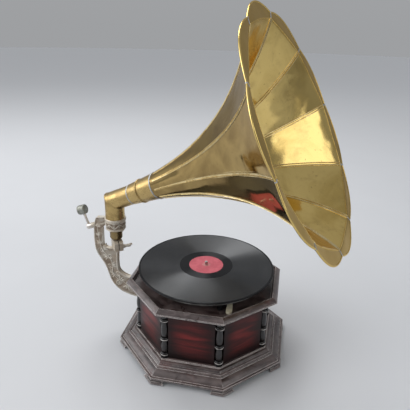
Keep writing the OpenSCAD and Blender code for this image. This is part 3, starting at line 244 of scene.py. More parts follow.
def old_brass(name, light, dark):
    """Duller brass of the elbow, the neck and the small fittings."""
    s = Shader(name, Metallic=1.0)
    spot_brown, rubbed = (0.10, 0.062, 0.028), (0.66, 0.51, 0.23)
    place = s.place()
    cloud = s.ramp(s.noise(place, 26, 6, 0.65, 0.8), 0.38, 0.70)
    spots = s.ramp(s.noise(place, 320, 3, 0.5), 0.62, 0.74)
    spotted = s.mix(s.times(spots, 0.7), s.mix(cloud, light, dark), spot_brown)
    s.feed(Base_Color=s.mix(s.times(s.edges(0.0008), 0.5), spotted, rubbed))
    s.feed(Roughness=s.ramp(cloud, 0, 1, 0.25, 0.43))
    s.feed(Normal=s.bump(s.noise(place, 140, 4, 0.6), 0.0002, 0.08))
    return s.material


def solder():
    """Pale lead solder with a lumpy skin."""
    s = Shader("solder", Metallic=0.85)
    fresh, dull = (0.58, 0.59, 0.60), (0.36, 0.36, 0.35)
    grey = s.noise(s.place(), 240, 4, 0.6)
    s.feed(Base_Color=s.mix(grey, fresh, dull))
    s.feed(Roughness=s.ramp(grey, 0.3, 0.7, 0.34, 0.55), Normal=s.bump(grey, 0.0006, 0.6))
    return s.material


def cast_ground(s):
    """The ground behind the raised ornament: the arm's two flat faces and the socket's band, from 0 to 1."""
    touching = (0.0006, 0.0001)
    half = BAND_HALF * MM
    x, y, z = s.axes(s.place())
    facing = s.math("ABSOLUTE", s.axes(s.normal())[1])
    depth = s.apart(s.math("ABSOLUTE", y), ARM_HALF * MM)
    arm = s.times(s.ramp(depth, *touching), s.ramp(facing, 0.8, 0.95))
    off = s.math("SUBTRACT", x, SOCKET_X * MM)
    squares = s.math("ADD", s.times(off, off), s.math("POWER", y, 2.0))
    rise = s.apart(s.math("SQRT", squares), SOCKET_OUT * MM)
    level = s.apart(z, BAND_Z * MM)
    band = s.times(s.ramp(rise, *touching), s.ramp(level, half, half - MM))
    return s.math("MAXIMUM", arm, band)


def cast_patina():
    """Worn bronzed casting: pale rubbed metal on all that stands proud, dark brown in the hollows."""
    s = Shader("cast_patina", Metallic=0.35)
    pale, tan, bronze = (0.66, 0.625, 0.545), (0.54, 0.47, 0.37), (0.52, 0.37, 0.24)
    grime, rubbed = (0.185, 0.130, 0.088), (0.82, 0.79, 0.74)
    place = s.place()
    cloud = s.ramp(s.noise(place, 60, 6, 0.65, 0.5), 0.36, 0.66)
    pits = s.ramp(s.noise(place, 300, 3, 0.6), 0.57, 0.67)
    warm = s.ramp(s.noise(place, 34, 4, 0.6), 0.45, 0.70)
    tinted = s.mix(s.times(warm, 0.45), s.mix(cloud, pale, tan), bronze)
    sunk = s.times(cast_ground(s), s.ramp(cloud, 0, 1, 0.55, 0.9))
    shut = s.math("MAXIMUM", s.times(pits, 0.7), s.times(s.hollows(0.0035), 0.9))
    hollow = s.mix(s.math("MAXIMUM", shut, sunk), tinted, grime)
    s.feed(Base_Color=s.mix(s.times(s.edges(0.0010), 0.75), hollow, rubbed))
    s.feed(Roughness=s.ramp(cloud, 0, 1, 0.34, 0.55))
    s.feed(Normal=s.bump(s.math("SUBTRACT", s.noise(place, 150, 5, 0.6), pits), 0.0006, 0.5))
    return s.material


def panel_mahogany():
    """Glossy panels with streaked grain, nearly black at their edges and with a deep red glow in the middle;
    the glow and the dark edges are painted light and shade.
    """
    s = Shader("panel_mahogany", Coat_Weight=0.2, Coat_Roughness=0.16, Specular_IOR_Level=0.2)
    dark, brown = (0.0075, 0.0030, 0.0030), (0.022, 0.0050, 0.0048)
    deep_red, pore_black = (0.190, 0.0190, 0.0180), (0.008, 0.003, 0.003)
    side = s.side_place()
    figure = s.noise(s.place((4, 9, 60), side), 1.0, 5, 0.6, 0.4)
    pores = s.noise(s.place((60, 14, 900), side), 1.0, 2, 0.5)
    # Painted light: along and level put a red glow in the middle of each panel, as a soft highlight would,
    # and leave the edges in painted shade; only the streaks inside it are grain.
    along = s.ramp(s.math("ABSOLUTE", s.axes(side)[1]), 0.050, 0.010)
    level = s.ramp(s.apart(s.axes(s.place())[2], PANEL_Z), 0.054, 0.016)
    streak = s.ramp(s.noise(s.place((1, 7, 60), side), 1.0, 4, 0.55, 0.6), 0.36, 0.68, 0.18, 1.0)
    glow = s.times(s.times(along, level), streak)
    lit = s.mix(glow, s.mix(s.ramp(figure, 0.36, 0.66), dark, brown), deep_red)
    s.feed(Base_Color=s.mix(s.ramp(pores, 0.62, 0.75), lit, pore_black))
    s.feed(Roughness=s.ramp(figure, 0.3, 0.7, 0.30, 0.44), Normal=s.bump(pores, 0.00015, 0.4))
    return s.material


def moulding_wood():
    """Dark lacquered mouldings, black in the grooves by painted shade, pale along the edges by rubbed bare
    wood and painted highlight, and grey on top from dusting and painted sheen.
    """
    s = Shader("moulding_wood", Coat_Weight=0.55, Coat_Roughness=0.20)
    dark, brown, red_stain = (0.019, 0.0108, 0.0104), (0.048, 0.0260, 0.0240), (0.105, 0.0230, 0.0200)
    dust_and_sheen_grey, painted_hollow_shade, bare_wood_and_highlight = (0.152, 0.118, 0.112), (0.004, 0.003, 0.003), (0.72, 0.650, 0.620)
    side = s.side_place()
    grain = s.noise(s.place((150, 6, 150), side), 1.0, 5, 0.6, 0.3)
    patch = s.noise(s.place(source=side), 24, 5, 0.62, 0.6)
    dust_and_sheen_patches = s.ramp(s.noise(s.place((60, 20, 60), side), 1.0, 5, 0.7), 0.36, 0.60)
    base = s.mix(s.ramp(grain, 0.34, 0.66), dark, brown)
    red = s.mix(s.times(s.ramp(patch, 0.54, 0.72), 0.7), base, red_stain)
    # Painted sheen mixed with real dusting: faces that look up are made paler grey, as lacquer looks where it
    # reflects the light.
    up = s.axes(s.normal())[2]
    dust_and_sheen = s.times(s.ramp(up, 0.15, 0.85), s.ramp(patch, 0.30, 0.60, 0.25, 0.75))
    dusty_and_sheened = s.mix(s.times(dust_and_sheen, dust_and_sheen_patches), red, dust_and_sheen_grey)
    # Painted shade: the hollows mask turns the grooves nearly black.
    hollow_shaded = s.mix(s.times(s.hollows(0.0045), 0.94), dusty_and_sheened, painted_hollow_shade)
    # Pale edges, partly rubbed bare wood and partly painted highlight: the edges mask lays a pale line along
    # the moulding's edges.
    rubbing_and_highlight = s.ramp(s.noise(s.place(source=side), 70, 4, 0.65), 0.28, 0.50)
    wear_and_highlight = s.times(s.edges(0.0030), rubbing_and_highlight)
    s.feed(Base_Color=s.mix(s.times(wear_and_highlight, 0.9), hollow_shaded, bare_wood_and_highlight))
    s.feed(Roughness=s.ramp(patch, 0.3, 0.7, 0.26, 0.44), Normal=s.bump(grain, 0.0003, 0.35))
    return s.material


def ebonised():
    """Black polished turnings, pale on the rings that stand out most, partly worn and partly painted
    highlight.
    """
    s = Shader("ebonised", Coat_Weight=0.5, Coat_Roughness=0.08, Specular_IOR_Level=0.45)
    black, soft_black = (0.007, 0.0064, 0.0068), (0.016, 0.0135, 0.0135)
    painted_hollow_shade, bare_wood_and_highlight = (0.002, 0.002, 0.002), (0.60, 0.56, 0.53)
    place = s.place()
    height = s.axes(place)[2]
    streak = s.noise(s.place((1, 1, 0.15)), 180, 4, 0.6)
    # Pale rings at these levels: partly worn bare wood, partly painted highlight.
    rubbed = 0.0
    for level in COLUMN_RINGS:
        rubbed = s.math("MAXIMUM", rubbed, s.ramp(s.apart(height, level), 0.0016, 0.0004))
    wear_and_highlight = s.times(rubbed, s.ramp(s.noise(place, 90, 4, 0.6), 0.34, 0.52))
    # Painted shade: the hollows mask darkens the grooves between the rings.
    hollow_shaded = s.mix(s.times(s.hollows(0.004), 0.9), s.mix(streak, black, soft_black), painted_hollow_shade)
    s.feed(Base_Color=s.mix(s.times(wear_and_highlight, 0.85), hollow_shaded, bare_wood_and_highlight))
    s.feed(Roughness=s.ramp(streak, 0.3, 0.7, 0.14, 0.24), Normal=s.bump(streak, 0.0001, 0.15))
    return s.material


def shellac():
    """Black record with fine grooves, quieter bands between pieces of music and a smooth run-out, painted
    darker by a dimmed reflection and by a greyer grooved part.
    """
    s = Shader("shellac", Anisotropic=1.0, Anisotropic_Rotation=0.25, Specular_IOR_Level=1.0)
    pitch, first_groove, last_groove = 0.0011, (0.1475, 0.1455), (0.0585, 0.0605)
    black, dusty_and_sheened = (0.0025, 0.0025, 0.0030), (0.020, 0.020, 0.022)
    dimmed_reflection, bright = (0.05, 0.05, 0.06), (0.96, 0.98, 1.0)
    radius = s.ring_distance()
    groove = s.math("SINE", s.times(radius, 2 * math.pi / pitch))
    band = s.noise(s.add("CombineXYZ", X=s.times(radius, 160)).outputs[0], 1.0, 3, 0.6)
    cut = s.times(s.ramp(radius, *last_groove), s.ramp(radius, *first_groove))
    # The grooved part is made greyer than the run-out: partly dusting, partly painted sheen that leaves the
    # run-out darker.
    dust_and_sheen = s.ramp(s.noise(s.place(), 16, 6, 0.65), 0.40, 0.72)
    s.feed(Base_Color=s.mix(s.times(cut, s.times(dust_and_sheen, 0.6)), black, dusty_and_sheened))
    s.feed(Roughness=s.math("ADD", s.ramp(cut, 0, 1, 0.17, 0.36), s.times(band, 0.10)))
    # Painted dark reflection: the run-out's reflection is tinted down so that it reads darker than the
    # grooves.
    s.feed(Specular_Tint=s.mix(cut, dimmed_reflection, bright))
    s.feed(Tangent=s.add("Tangent", {"direction_type": "RADIAL", "axis": "Z"}).outputs[0])
    s.feed(Normal=s.bump(s.times(groove, cut), 0.00006, 0.6))
    return s.material


def label_paper():
    """Plain faded red label, rubbed pale round the hole."""
    s = Shader("label_paper", Roughness=0.6)
    red, faded, bare_paper = (0.48, 0.070, 0.098), (0.58, 0.108, 0.142), (0.62, 0.42, 0.36)
    fibre = s.noise(s.place(), 700, 4, 0.6)
    stain = s.ramp(s.noise(s.place(), 60, 4, 0.6), 0.40, 0.70)
    worn = s.times(s.ramp(s.ring_distance(), 0.012, 0.005), s.ramp(fibre, 0.35, 0.6))
    s.feed(Base_Color=s.mix(s.times(worn, 0.6), s.mix(stain, red, faded), bare_paper))
    s.feed(Normal=s.bump(fibre, 0.00008, 0.5))
    return s.material


def metal(name, light, dark, gloss, scale=120, edge_light=None):
    """A worn bare metal: two tones, a roughness range and, where given, rubbed edges."""
    s = Shader(name, Metallic=1.0)
    place = s.place()
    cloud = s.noise(place, scale, 5, 0.6)
    base = s.mix(s.ramp(cloud, 0.35, 0.68), light, dark)
    if edge_light:
        base = s.mix(s.times(s.edges(0.0006), 0.6), base, edge_light)
    s.feed(Base_Color=base, Roughness=s.ramp(cloud, 0.3, 0.7, *gloss))
    s.feed(Normal=s.bump(s.noise(place, 6 * scale, 3, 0.6), 0.00015, 0.3))
    return s.material


def plain(name, light, dark, gloss, scale=90, depth=0.0002, **constants):
    """A coated or soft surface of two tones with a fine skin."""
    s = Shader(name, **constants)
    place = s.place()
    cloud = s.noise(place, scale, 5, 0.6)
    s.feed(Base_Color=s.mix(s.ramp(cloud, 0.35, 0.68), light, dark))
    s.feed(Roughness=s.ramp(cloud, 0.3, 0.7, *gloss))
    s.feed(Normal=s.bump(s.noise(place, 8 * scale, 3, 0.6), depth, 0.5))
    return s.material


HORN_BRASS = horn_brass(
    "horn_brass", (0.82, 0.610, 0.225), (0.63, 0.445, 0.142), (0.40, 0.282, 0.105), (0.33, 0.220, 0.086),
    grazing=(0.96, 0.84, 0.62),
)
# A darker copy of the same brass for the horn's outside: partly tarnish, partly painted shade.
HORN_BACK_SHADED = horn_brass(
    "horn_back_shaded", (0.42, 0.300, 0.120), (0.30, 0.205, 0.082), (0.18, 0.122, 0.052), (0.36, 0.245, 0.098),
    grazing=(1.0, 0.92, 0.80),
)
OLD_BRASS = old_brass("old_brass", (0.53, 0.383, 0.160), (0.37, 0.257, 0.108))
# A darker copy of the old brass for the tone arm's cup: painted shade where the cup sits in shadow.
CUP_BRASS_SHADED = old_brass("cup_brass_shaded", (0.28, 0.205, 0.098), (0.16, 0.112, 0.055))
SOLDER = solder()
PATINA = cast_patina()
PANEL = panel_mahogany()
MOULDING = moulding_wood()
EBONISED = ebonised()
STEEL = metal(
    "worn_steel", (0.56, 0.55, 0.53), (0.30, 0.28, 0.26), (0.26, 0.46), edge_light=(0.75, 0.74, 0.72)
)
IRON = metal("motor_iron", (0.14, 0.14, 0.145), (0.07, 0.065, 0.065), (0.42, 0.6))
DULL_PLATE = metal("dull_plate", (0.20, 0.195, 0.185), (0.10, 0.097, 0.09), (0.30, 0.46), 60)
PALE_METAL = metal("pale_metal", (0.74, 0.70, 0.65), (0.54, 0.49, 0.44), (0.30, 0.48))
SEAM_BRASS = metal("seam_brass", (0.86, 0.70, 0.38), (0.64, 0.48, 0.21), (0.18, 0.34), 60)
# Near-black steel for the brake lever: painted shade, so that the lever reads as the shadow under the record.
SHADOW_DARK_STEEL = metal("shadow_dark_steel", (0.050, 0.050, 0.056), (0.028, 0.028, 0.030), (0.34, 0.5))
KNOB = metal("knob_metal", (0.35, 0.355, 0.315), (0.20, 0.20, 0.175), (0.36, 0.54), 150, (0.55, 0.54, 0.50))
WHEEL_BRASS = metal("wheel_brass", (0.58, 0.42, 0.17), (0.40, 0.27, 0.10), (0.25, 0.42))
SHELLAC = shellac()
LABEL = label_paper()
FELT = plain("felt", (0.030, 0.045, 0.026), (0.018, 0.028, 0.016), (0.9, 1.0), 240, 0.0006, Sheen_Weight=0.4)
IVORY = plain("ivory", (0.80, 0.74, 0.56), (0.66, 0.58, 0.40), (0.30, 0.45), 110)
RUBBER = plain("rubber", (0.03, 0.03, 0.03), (0.02, 0.02, 0.02), (0.7, 0.85))
LEATHER = plain("brake_leather", (0.16, 0.09, 0.05), (0.09, 0.05, 0.03), (0.6, 0.8), 200, 0.0005)
GRIP_WOOD = plain("grip_wood", (0.10, 0.042, 0.018), (0.05, 0.02, 0.010), (0.25, 0.4), 70, Coat_Weight=0.4)

CAD_LOOKS = {
    MOULDING: ["feet", "base_board", "plinth_moulding", "top_frame", "deck_board"],
    PANEL: ["wall_panels"],
    EBONISED: ["corner_columns"],
    PATINA: ["bracket", "wing_screw"],
    OLD_BRASS: ["horn_elbow", "neck_ferrule", "wall_bush"],
    STEEL: [
        "bracket_screws", "spindle", "spindle_pinion", "motor_pillars", "mainspring",
        "barrel_arbor", "bevel_wheel", "middle_arbor", "governor_shaft", "winding_shaft", "crank_rod",
    ],
    IRON: ["motor_top_plate", "motor_bottom_plate", "governor_posts", "winding_bearing"],
    WHEEL_BRASS: ["worm_wheel", "spring_barrel", "middle_wheel", "governor_weights"],
    DULL_PLATE: ["platter"],
    SHADOW_DARK_STEEL: ["brake_lever"],
    PALE_METAL: ["clamp_screw"],
    CUP_BRASS_SHADED: ["tone_arm_socket"],
    KNOB: ["clamp_knob"],
    SHELLAC: ["record"],
    LABEL: ["record_label"],
    FELT: ["felt"],
    IVORY: ["brake_grip"],
    RUBBER: ["motor_washers"],
    LEATHER: ["brake_pad"],
    GRIP_WOOD: ["crank_grip"],
}
for look, names in CAD_LOOKS.items():
    for name in names:
        nodes[name].data.materials.clear()
        nodes[name].data.materials.append(look)


def grid_faces(rows, cols, first=0, flip=False):
    """Quads of a grid of rows x cols points that starts at a vertex number."""
    quads = []
    for j in range(rows - 1):
        for i in range(cols - 1):
            a = first + j * cols + i
            quad = (a, a + 1, a + cols + 1, a + cols)
            quads.append(quad[::-1] if flip else quad)
    return quads


def unit(vectors):
    """The same directions, with length one."""
    return vectors / np.linalg.norm(vectors, axis=-1, keepdims=True)


def full_turn(count):
    """Angles evenly spread over a whole turn."""
    return np.linspace(0, 2 * np.pi, count, endpoint=False)


def loft(points, normals, section, closed=False):
    """Vertices and faces of a bar along a path; the section's points lie (across, up) from the path."""
    points, normals = np.asarray(points, float), unit(np.asarray(normals, float))
    if closed:
        tangents = np.roll(points, -1, 0) - np.roll(points, 1, 0)
    else:
        tangents = np.gradient(points, axis=0)
    across = unit(np.cross(normals, tangents))
    section = np.asarray(section, float)
    if section.ndim == 2:
        section = np.broadcast_to(section, (len(points), *section.shape))
    verts = (
        points[:, None, :]
        + across[:, None, :] * section[:, :, 0, None]
        + normals[:, None, :] * section[:, :, 1, None]
    )
    rings, sides = len(points), section.shape[1]
    faces = []
    for j in range(rings if closed else rings - 1):
        for i in range(sides):
            a, b = j * sides + i, j * sides + (i + 1) % sides
            shift = ((j + 1) % rings - j) * sides
            faces.append((a, b, b + shift, a + shift))
    if not closed:
        faces.append(tuple(range(sides))[::-1])
        faces.append(tuple((rings - 1) * sides + i for i in range(sides)))
    return verts.reshape(-1, 3), faces


def ellipse(half_width, half_height, sides=10):
    """Section of a bar, as (across, up) points."""
    turns = full_turn(sides)
    return np.stack([half_width * np.cos(turns), half_height * np.sin(turns)], -1)


def tapered(section, sizes):
    """The same section at several sizes, one for each point of a path."""
    return np.asarray(section)[None] * np.asarray(sizes, float)[:, None, None]


class Part:
    """Collects shapes in millimetres and makes one mesh piece from them."""

    def __init__(self):
        self.verts = []
        self.faces = []

    def add(self, verts, faces):
        first = len(self.verts)
        self.verts.extend(map(tuple, np.asarray(verts)))
        self.faces.extend(tuple(first + v for v in face) for face in faces)
        return self

    def make(self, name, material, body, slot, matrix=Matrix.Identity(4), angle=40):
        """Makes the piece; edges that bend by more than the angle, in degrees, stay sharp."""
        mesh = bpy.data.meshes.new(name)
        mesh.from_pydata(self.verts, [], self.faces)
        mesh.transform(Matrix.Scale(MM, 4) @ matrix)
        mesh.validate()
        mesh.shade_smooth()
        mesh.set_sharp_from_angle(angle=math.radians(angle))
        mesh.materials.append(material)
        piece = bpy.data.objects.new(name, mesh)
        bpy.context.scene.collection.objects.link(piece)
        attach(piece, body)
        return piece


def bell_r(z):
    """Radius of the bell at a distance from its throat, before the petals are flattened."""
    return BEND_R - GROWTH * (1 - np.exp(FLARE * (z - BELL_LEN)))


def petal_r(z, across):
    """Radius of the bell across a petal: an arc near the throat, nearly flat panels at the mouth."""
    flat = PETAL_FLAT * np.clip((z - FLAT_FROM) / (BELL_LEN * FLAT_REACH), 0, 1)
    chord = 1 - math.cos(HALF_PETAL) / np.cos(HALF_PETAL * across)
    return bell_r(z) * (1 - flat * chord) / (1 - flat * (1 - math.cos(HALF_PETAL)) / 2)


def petal_surface(z, lip, across, turn):
    """Points of the middle of the sheet, in the horn's own frame."""
    inner = petal_r(z, across)
    outer = RIM_R + LOBE * np.cos(np.pi / 2 * across)
    r = inner + (outer - inner) * lip
    height = np.broadcast_to(PETAL_AT + z + LIP_RISE * lip, r.shape)
    return np.stack([r * np.cos(turn), r * np.sin(turn), height], -1)


def seam_bearing(i):
    """Angle round the horn's axis at which a petal starts."""
    return math.radians(180 - SEAM_TURN) - 2 * HALF_PETAL * i


# A petal's grid: rows along the bell, closer together towards the mouth, then rows across the lip
BELL_ROWS = 64
LIP_ROWS = 9
PETAL_COLS = 29
ROW_CROWDING = 1.4
FOLD = BELL_ROWS - 1
row_share = np.concatenate([np.linspace(0, 1, BELL_ROWS), np.ones(LIP_ROWS)])
ROW_Z = BELL_LEN * (1 - (1 - row_share) ** ROW_CROWDING)
ROW_LIP = np.concatenate([np.zeros(BELL_ROWS), np.linspace(0, 1, LIP_ROWS + 1)[1:]])

# How the sheet is finished: its share of the room between two seams, its softened fold and its dents
PETAL_SHARE = 0.9985
SOFT_ROWS = 3
SOFT_ROUNDS = 4
CREASE = (1.1, 0.8)
DENT = 1.3
DENT_CALM = 80
DENT_WAVE = 0.017
DENT_RIPPLE = 0.05
RIPPLE_SHARE = 0.2
DENT_SEED = 3.7


def soften_bend(points):
    """Rounds the fold between the bell and the lip."""
    low, high = BELL_ROWS - SOFT_ROWS, BELL_ROWS + SOFT_ROWS
    for _ in range(SOFT_ROUNDS):
        points[low:high] = (points[low - 1:high - 1] + 2 * points[low:high] + points[low + 1:high + 1]) / 4
    return points


def surface_normals(points):
    """Outward normals of a petal's grid."""
    normals = unit(np.cross(np.gradient(points, axis=1), np.gradient(points, axis=0)))
    outward = points * np.array([1, 1, 0])
    return normals * np.sign(np.sum(normals * outward, -1, keepdims=True))


def dents(points, across, seed):
    """Small hollows and swellings of hand-worked sheet, fading out at the seams, the throat and the rim."""
    calm = (1 - across**4) * (1 - ROW_LIP[:, None]) * np.clip(ROW_Z[:, None] / DENT_CALM, 0, 1)
    wave = [[noise.noise(Vector(p) * DENT_WAVE + Vector((0, 0, seed))) for p in row] for row in points]
    ripple = [[noise.noise(Vector(p) * DENT_RIPPLE + Vector((seed, 0, 0))) for p in row] for row in points]
    return DENT * calm * (np.array(wave) + RIPPLE_SHARE * np.array(ripple))


def sheet(points, normals):
    """Vertices and faces of a closed sheet on a grid of points: its outside, its inside and its border."""
    rows, cols = points.shape[:2]
    count = rows * cols
    outside = (points + normals * SHEET_T / 2).reshape(-1, 3)
    inside = (points - normals * SHEET_T / 2).reshape(-1, 3)
    flip = np.dot(np.cross(outside[1] - outside[0], outside[cols] - outside[0]), normals[0, 0]) < 0
    faces = grid_faces(rows, cols, 0, flip) + grid_faces(rows, cols, count, not flip)
    border = (
        [(0, k) for k in range(cols)]
        + [(j, cols - 1) for j in range(1, rows)]
        + [(rows - 1, k) for k in range(cols - 2, -1, -1)]
        + [(j, 0) for j in range(rows - 2, 0, -1)]
    )
    loop = [j * cols + k for j, k in border]
    for a, b in zip(loop, loop[1:] + loop[:1]):
        wall = (b, a, a + count, b + count)
        faces.append(wall[::-1] if flip else wall)
    return np.concatenate([outside, inside]), faces


def map_petal(mesh, across):
    """Stores each corner's place across the petals and along the horn, for the brass's marks and lip."""
    uv = mesh.uv_layers.new(name="petal")
    along = (ROW_Z / BELL_LEN + ROW_LIP / 10)[:, None]
    share = np.stack(np.broadcast_arrays(across, along), -1).reshape(-1, 2)
    for number, corner in enumerate(mesh.loops):
        uv.data[number].uv = share[corner.vertex_index % len(share)]


def make_petal(i):
    """One petal with its rolled edge and the crease at its fold; its outside is darker than its inside,
    partly tarnish and partly painted shade.
    """
    across = np.linspace(-1, 1, PETAL_COLS)[None, :] * PETAL_SHARE
    turn = seam_bearing(i) + HALF_PETAL * (across + 1)
    points = soften_bend(petal_surface(ROW_Z[:, None], ROW_LIP[:, None], across, turn))
    normals = surface_normals(points)
    points = points + normals * dents(points, across, DENT_SEED * i)[..., None]
    part = Part().add(*sheet(points, normals))
    part.add(*loft(points[-1], normals[-1], ellipse(RIM_ROLL_R, RIM_ROLL_R)))
    crease = points[FOLD] - normals[FOLD] * SHEET_T / 2
    part.add(*loft(crease, -normals[FOLD], ellipse(*CREASE)))
    piece = part.make(f"petal_{i}", HORN_BRASS, "horn", "brass", horn_frame, angle=50)
    piece.data.materials.append(HORN_BACK_SHADED)
    for face in piece.data.polygons[:(len(ROW_Z) - 1) * (PETAL_COLS - 1)]:
        face.material_index = 1
    map_petal(piece.data, across / 2 + 0.5 + i)
    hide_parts(f"horn_petal_{i}")


# A seam's ridge: its section, its size along the bell, and the sides of the sheet with its width there
SEAM_HALF = [(1.1, 0.0), (1.7, 1.5), (2.5, 1.5), (3.2, 0.4), (3.6, -0.3)]
SEAM_SECTION = [(-x, z) for x, z in SEAM_HALF[::-1]] + SEAM_HALF
SEAM_FROM = 5
SEAM_GROWTH = ([0, 120, BELL_LEN], [0.6, 0.85, 1])
SEAM_SIDES = ((1, 0.85), (-1, 1.3))

# Solder across the lip, with its uneven size, and the drop at its end
TICK = ellipse(1.3, 0.9, 8)
TICK_SIZE = 1.2
TICK_UNEVEN = 0.5
TICK_LUMPS = (7, 3)
DROP = ellipse(2.4, 2.2)
DROP_SIZES = [0.5, 1, 0.6]
DROP_IN = 2.5
DROP_OUT = 1.8


def seam_path(i):
    """Points along a joint of two petals, with the directions away from the axis and off the sheet."""
    turn = np.full((len(ROW_Z), 1), seam_bearing(i))
    path = soften_bend(petal_surface(ROW_Z[:, None], ROW_LIP[:, None], np.ones((1, 1)), turn))[:, 0]
    slope = np.gradient(path, axis=0)
    radial = unit(path * np.array([1, 1, 0]))
    rise = np.sum(slope * radial, -1, keepdims=True)
    return path, radial, unit(radial * slope[:, 2:] - np.array([0, 0, 1]) * rise)


def make_seams():
    """Double ridges that close the petals' joints, outside and inside, with solder lines across the lip."""
    ridges, ticks = Part(), Part()
    bell = slice(np.searchsorted(ROW_Z, SEAM_FROM), BELL_ROWS)
    lip = slice(FOLD, None)
    growing = np.interp(ROW_Z, *SEAM_GROWTH)
    around, along = TICK_LUMPS
    for i in range(1, PETALS + 1):
        path, radial, normals = seam_path(i)
        for side, width in SEAM_SIDES:
            face = path + side * normals * SHEET_T / 2
            size = tapered(SEAM_SECTION, growing * width)
            ridges.add(*loft(face[bell], side * normals[bell], size[bell]))
            lumps = [noise.noise(Vector((around * i, along * k, side))) for k in range(LIP_ROWS + 1)]
            uneven = [TICK_SIZE + TICK_UNEVEN * lump for lump in lumps]
            ticks.add(*loft(face[lip], side * normals[lip], tapered(TICK, uneven)))
        end, out = path[-1], radial[-1]
        drop = np.array([end - DROP_IN * out, end, end + DROP_OUT * out])
        ticks.add(*loft(drop, np.tile(normals[-1], (3, 1)), tapered(DROP, DROP_SIZES)))
    piece = ridges.make("petal_seams", SEAM_BRASS, "horn", "brass", horn_frame)
    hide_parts("horn_seams")
    ticks.make("rim_solder", SOLDER, "horn", "solder", horn_frame, angle=80)


# Solder rings: how lumpy they are, and how far a band lies before its joint and stands out
RING_POINTS = 96
RING_UNEVEN = 0.5
RING_LUMPS = 4
RING_WANDER = 0.9
BAND_SIZE = 1.8
BAND_THICK = 0.45
FERRULE_BAND = (2.0, 0.3)
THROAT_BAND = (1.8, 0.7)
MITRE_BEAD = (1.1, 0.5)
MITRE_OUT = 0.1
MITRE_LUMPS = 3


def solder_ring(part, at, r, seed):
    """An uneven band of solder round the neck."""
    turns = full_turn(RING_POINTS)
    radial = np.stack([np.cos(turns), np.sin(turns), 0 * turns], -1)
    rough = np.array([noise.noise(Vector(n) * RING_LUMPS + Vector((seed, 0, 0))) for n in radial])
    points = radial * r + np.array([0, 0, 1]) * (at + RING_WANDER * rough)[:, None]
    section = tapered(ellipse(BAND_SIZE, BAND_SIZE * BAND_THICK), 1 + RING_UNEVEN * rough)
    part.add(*loft(points, radial, section, closed=True))


def make_solder_bands():
    """The two bands of solder on the neck."""
    part = Part()
    for joint, r, (before, out), seed in (
        (FERRULE_AT, ELBOW_R, FERRULE_BAND, 1),
        (PETAL_AT, THROAT_R, THROAT_BAND, 5),
    ):
        solder_ring(part, joint - before, r + out, seed)
    piece = part.make("neck_solder", SOLDER, "horn", "solder", horn_frame, angle=80)
    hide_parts("solder_bands")


def make_mitre_solder():
    """The soldered joint of the elbow: an ellipse round the tube in the mitre's plane."""
    lean = math.radians((90 - HORN_RISE) / 2)
    turns = full_turn(RING_POINTS)
    rough = np.array([noise.noise(Vector((math.cos(t), math.sin(t), 0)) * MITRE_LUMPS) for t in turns])
    radial = np.stack([np.cos(turns) / math.cos(lean), np.sin(turns), 0 * turns], -1)
    points = radial * (ELBOW_R + MITRE_OUT)
    section = tapered(ellipse(*MITRE_BEAD), 1 + RING_UNEVEN * rough)
    part = Part().add(*loft(points, radial, section, closed=True))
    mitre_frame = bend_frame @ Matrix.Rotation(lean, 4, "Y")
    part.make("elbow_solder", OLD_BRASS, "horn", "brass", mitre_frame, angle=80)


def smooth_path(points, steps):
    """A curve through a list of points, evenly sampled between each two."""
    points = np.asarray(points, float)
    padded = np.concatenate([points[:1], points, points[-1:]])
    t = np.linspace(0, 1, steps, endpoint=False)[:, None]
    curve = []
    for a, b, c, d in zip(padded, padded[1:], padded[2:], padded[3:]):
        bow = 2 * b + (c - a) * t + (2 * a - 5 * b + 4 * c - d) * t**2 + (3 * b - a - 3 * c + d) * t**3
        curve.append(bow / 2)
    return np.concatenate([*curve, points[-1:]])


# The cast arm's edges and its vine's stem, as (x, z)
ARM_BACK = [
    (WALL_X, 82), (-178, 87), (SOCKET_X + 4, 99), (SOCKET_X - 15, 122), (SOCKET_X - 28, 161),
    (SOCKET_X - 47, SOCKET_Z - 91), (SOCKET_X - 51, SOCKET_Z - 65), (SOCKET_X - 50, SOCKET_Z - 26),
    (SOCKET_X - 44, SOCKET_Z - 4),
]
ARM_FRONT = [
    (SOCKET_X + 2, SOCKET_Z - 82.5), (SOCKET_X, 168), (SOCKET_X + 4, 146), (-186, 133), (WALL_X, 131),
]
ARM_STEM = [
    (-156, 107), (-182, 109), (-206, 121), (-219, 143), (-228, 172),
    (-240, 197), (-252, 218), (-253, 244), (-251, 268),
]

# Half widths and heights of the vine's ridges, and their size from root to tip
RIM_RIDGE = (1.7, 1.3)
STEM_RIDGE = (1.5, 1.5)
SCROLL_RIDGE = (1.2, 1.4)
LEAF_RIDGE = (1.7, 1.2)
RIDGE_TAPER = ([0, 0.15, 0.75, 1], [0.7, 1, 0.9, 0.45])

# The vine: room on each side of the stem along it, the stem's waves, its scrolls and their leaves
VINE_ROOM = ([0, 0.25, 0.45, 0.62, 0.75, 1], [13, 12, 11, 10, 5.5, 4.5])
STEM_STEPS = 10
STEM_SWAY = 0.35
STEM_WAVES = 7
SCROLLS = 10
SCROLL_POINTS = 34
SCROLL_TURNS = 1.7
SCROLL_WINDS_IN = 0.82
SCROLL_R = 0.62
SCROLL_OFF = 0.5
LEAF_LEANS = (-0.55, 0.1, 0.75)
LEAF_ROOT = 0.15
LEAF_TIP = 0.9
LEAF_SPREAD = 3
LEAF_BOW = 1.2
LEAF_STEPS = 5


def lay(part, flat, side, ridge):
    """Lays a ridge on a face of the arm along an (x, z) path that thins out at its end."""
    flat = np.asarray(flat, float)
    points = np.stack([flat[:, 0], np.full(len(flat), side * ARM_HALF), flat[:, 1]], -1)
    normals = np.tile([0, side, 0], (len(flat), 1))
    sizes = np.interp(np.linspace(0, 1, len(flat)), *RIDGE_TAPER)
    part.add(*loft(points, normals, tapered(ellipse(*ridge, 8), sizes)))


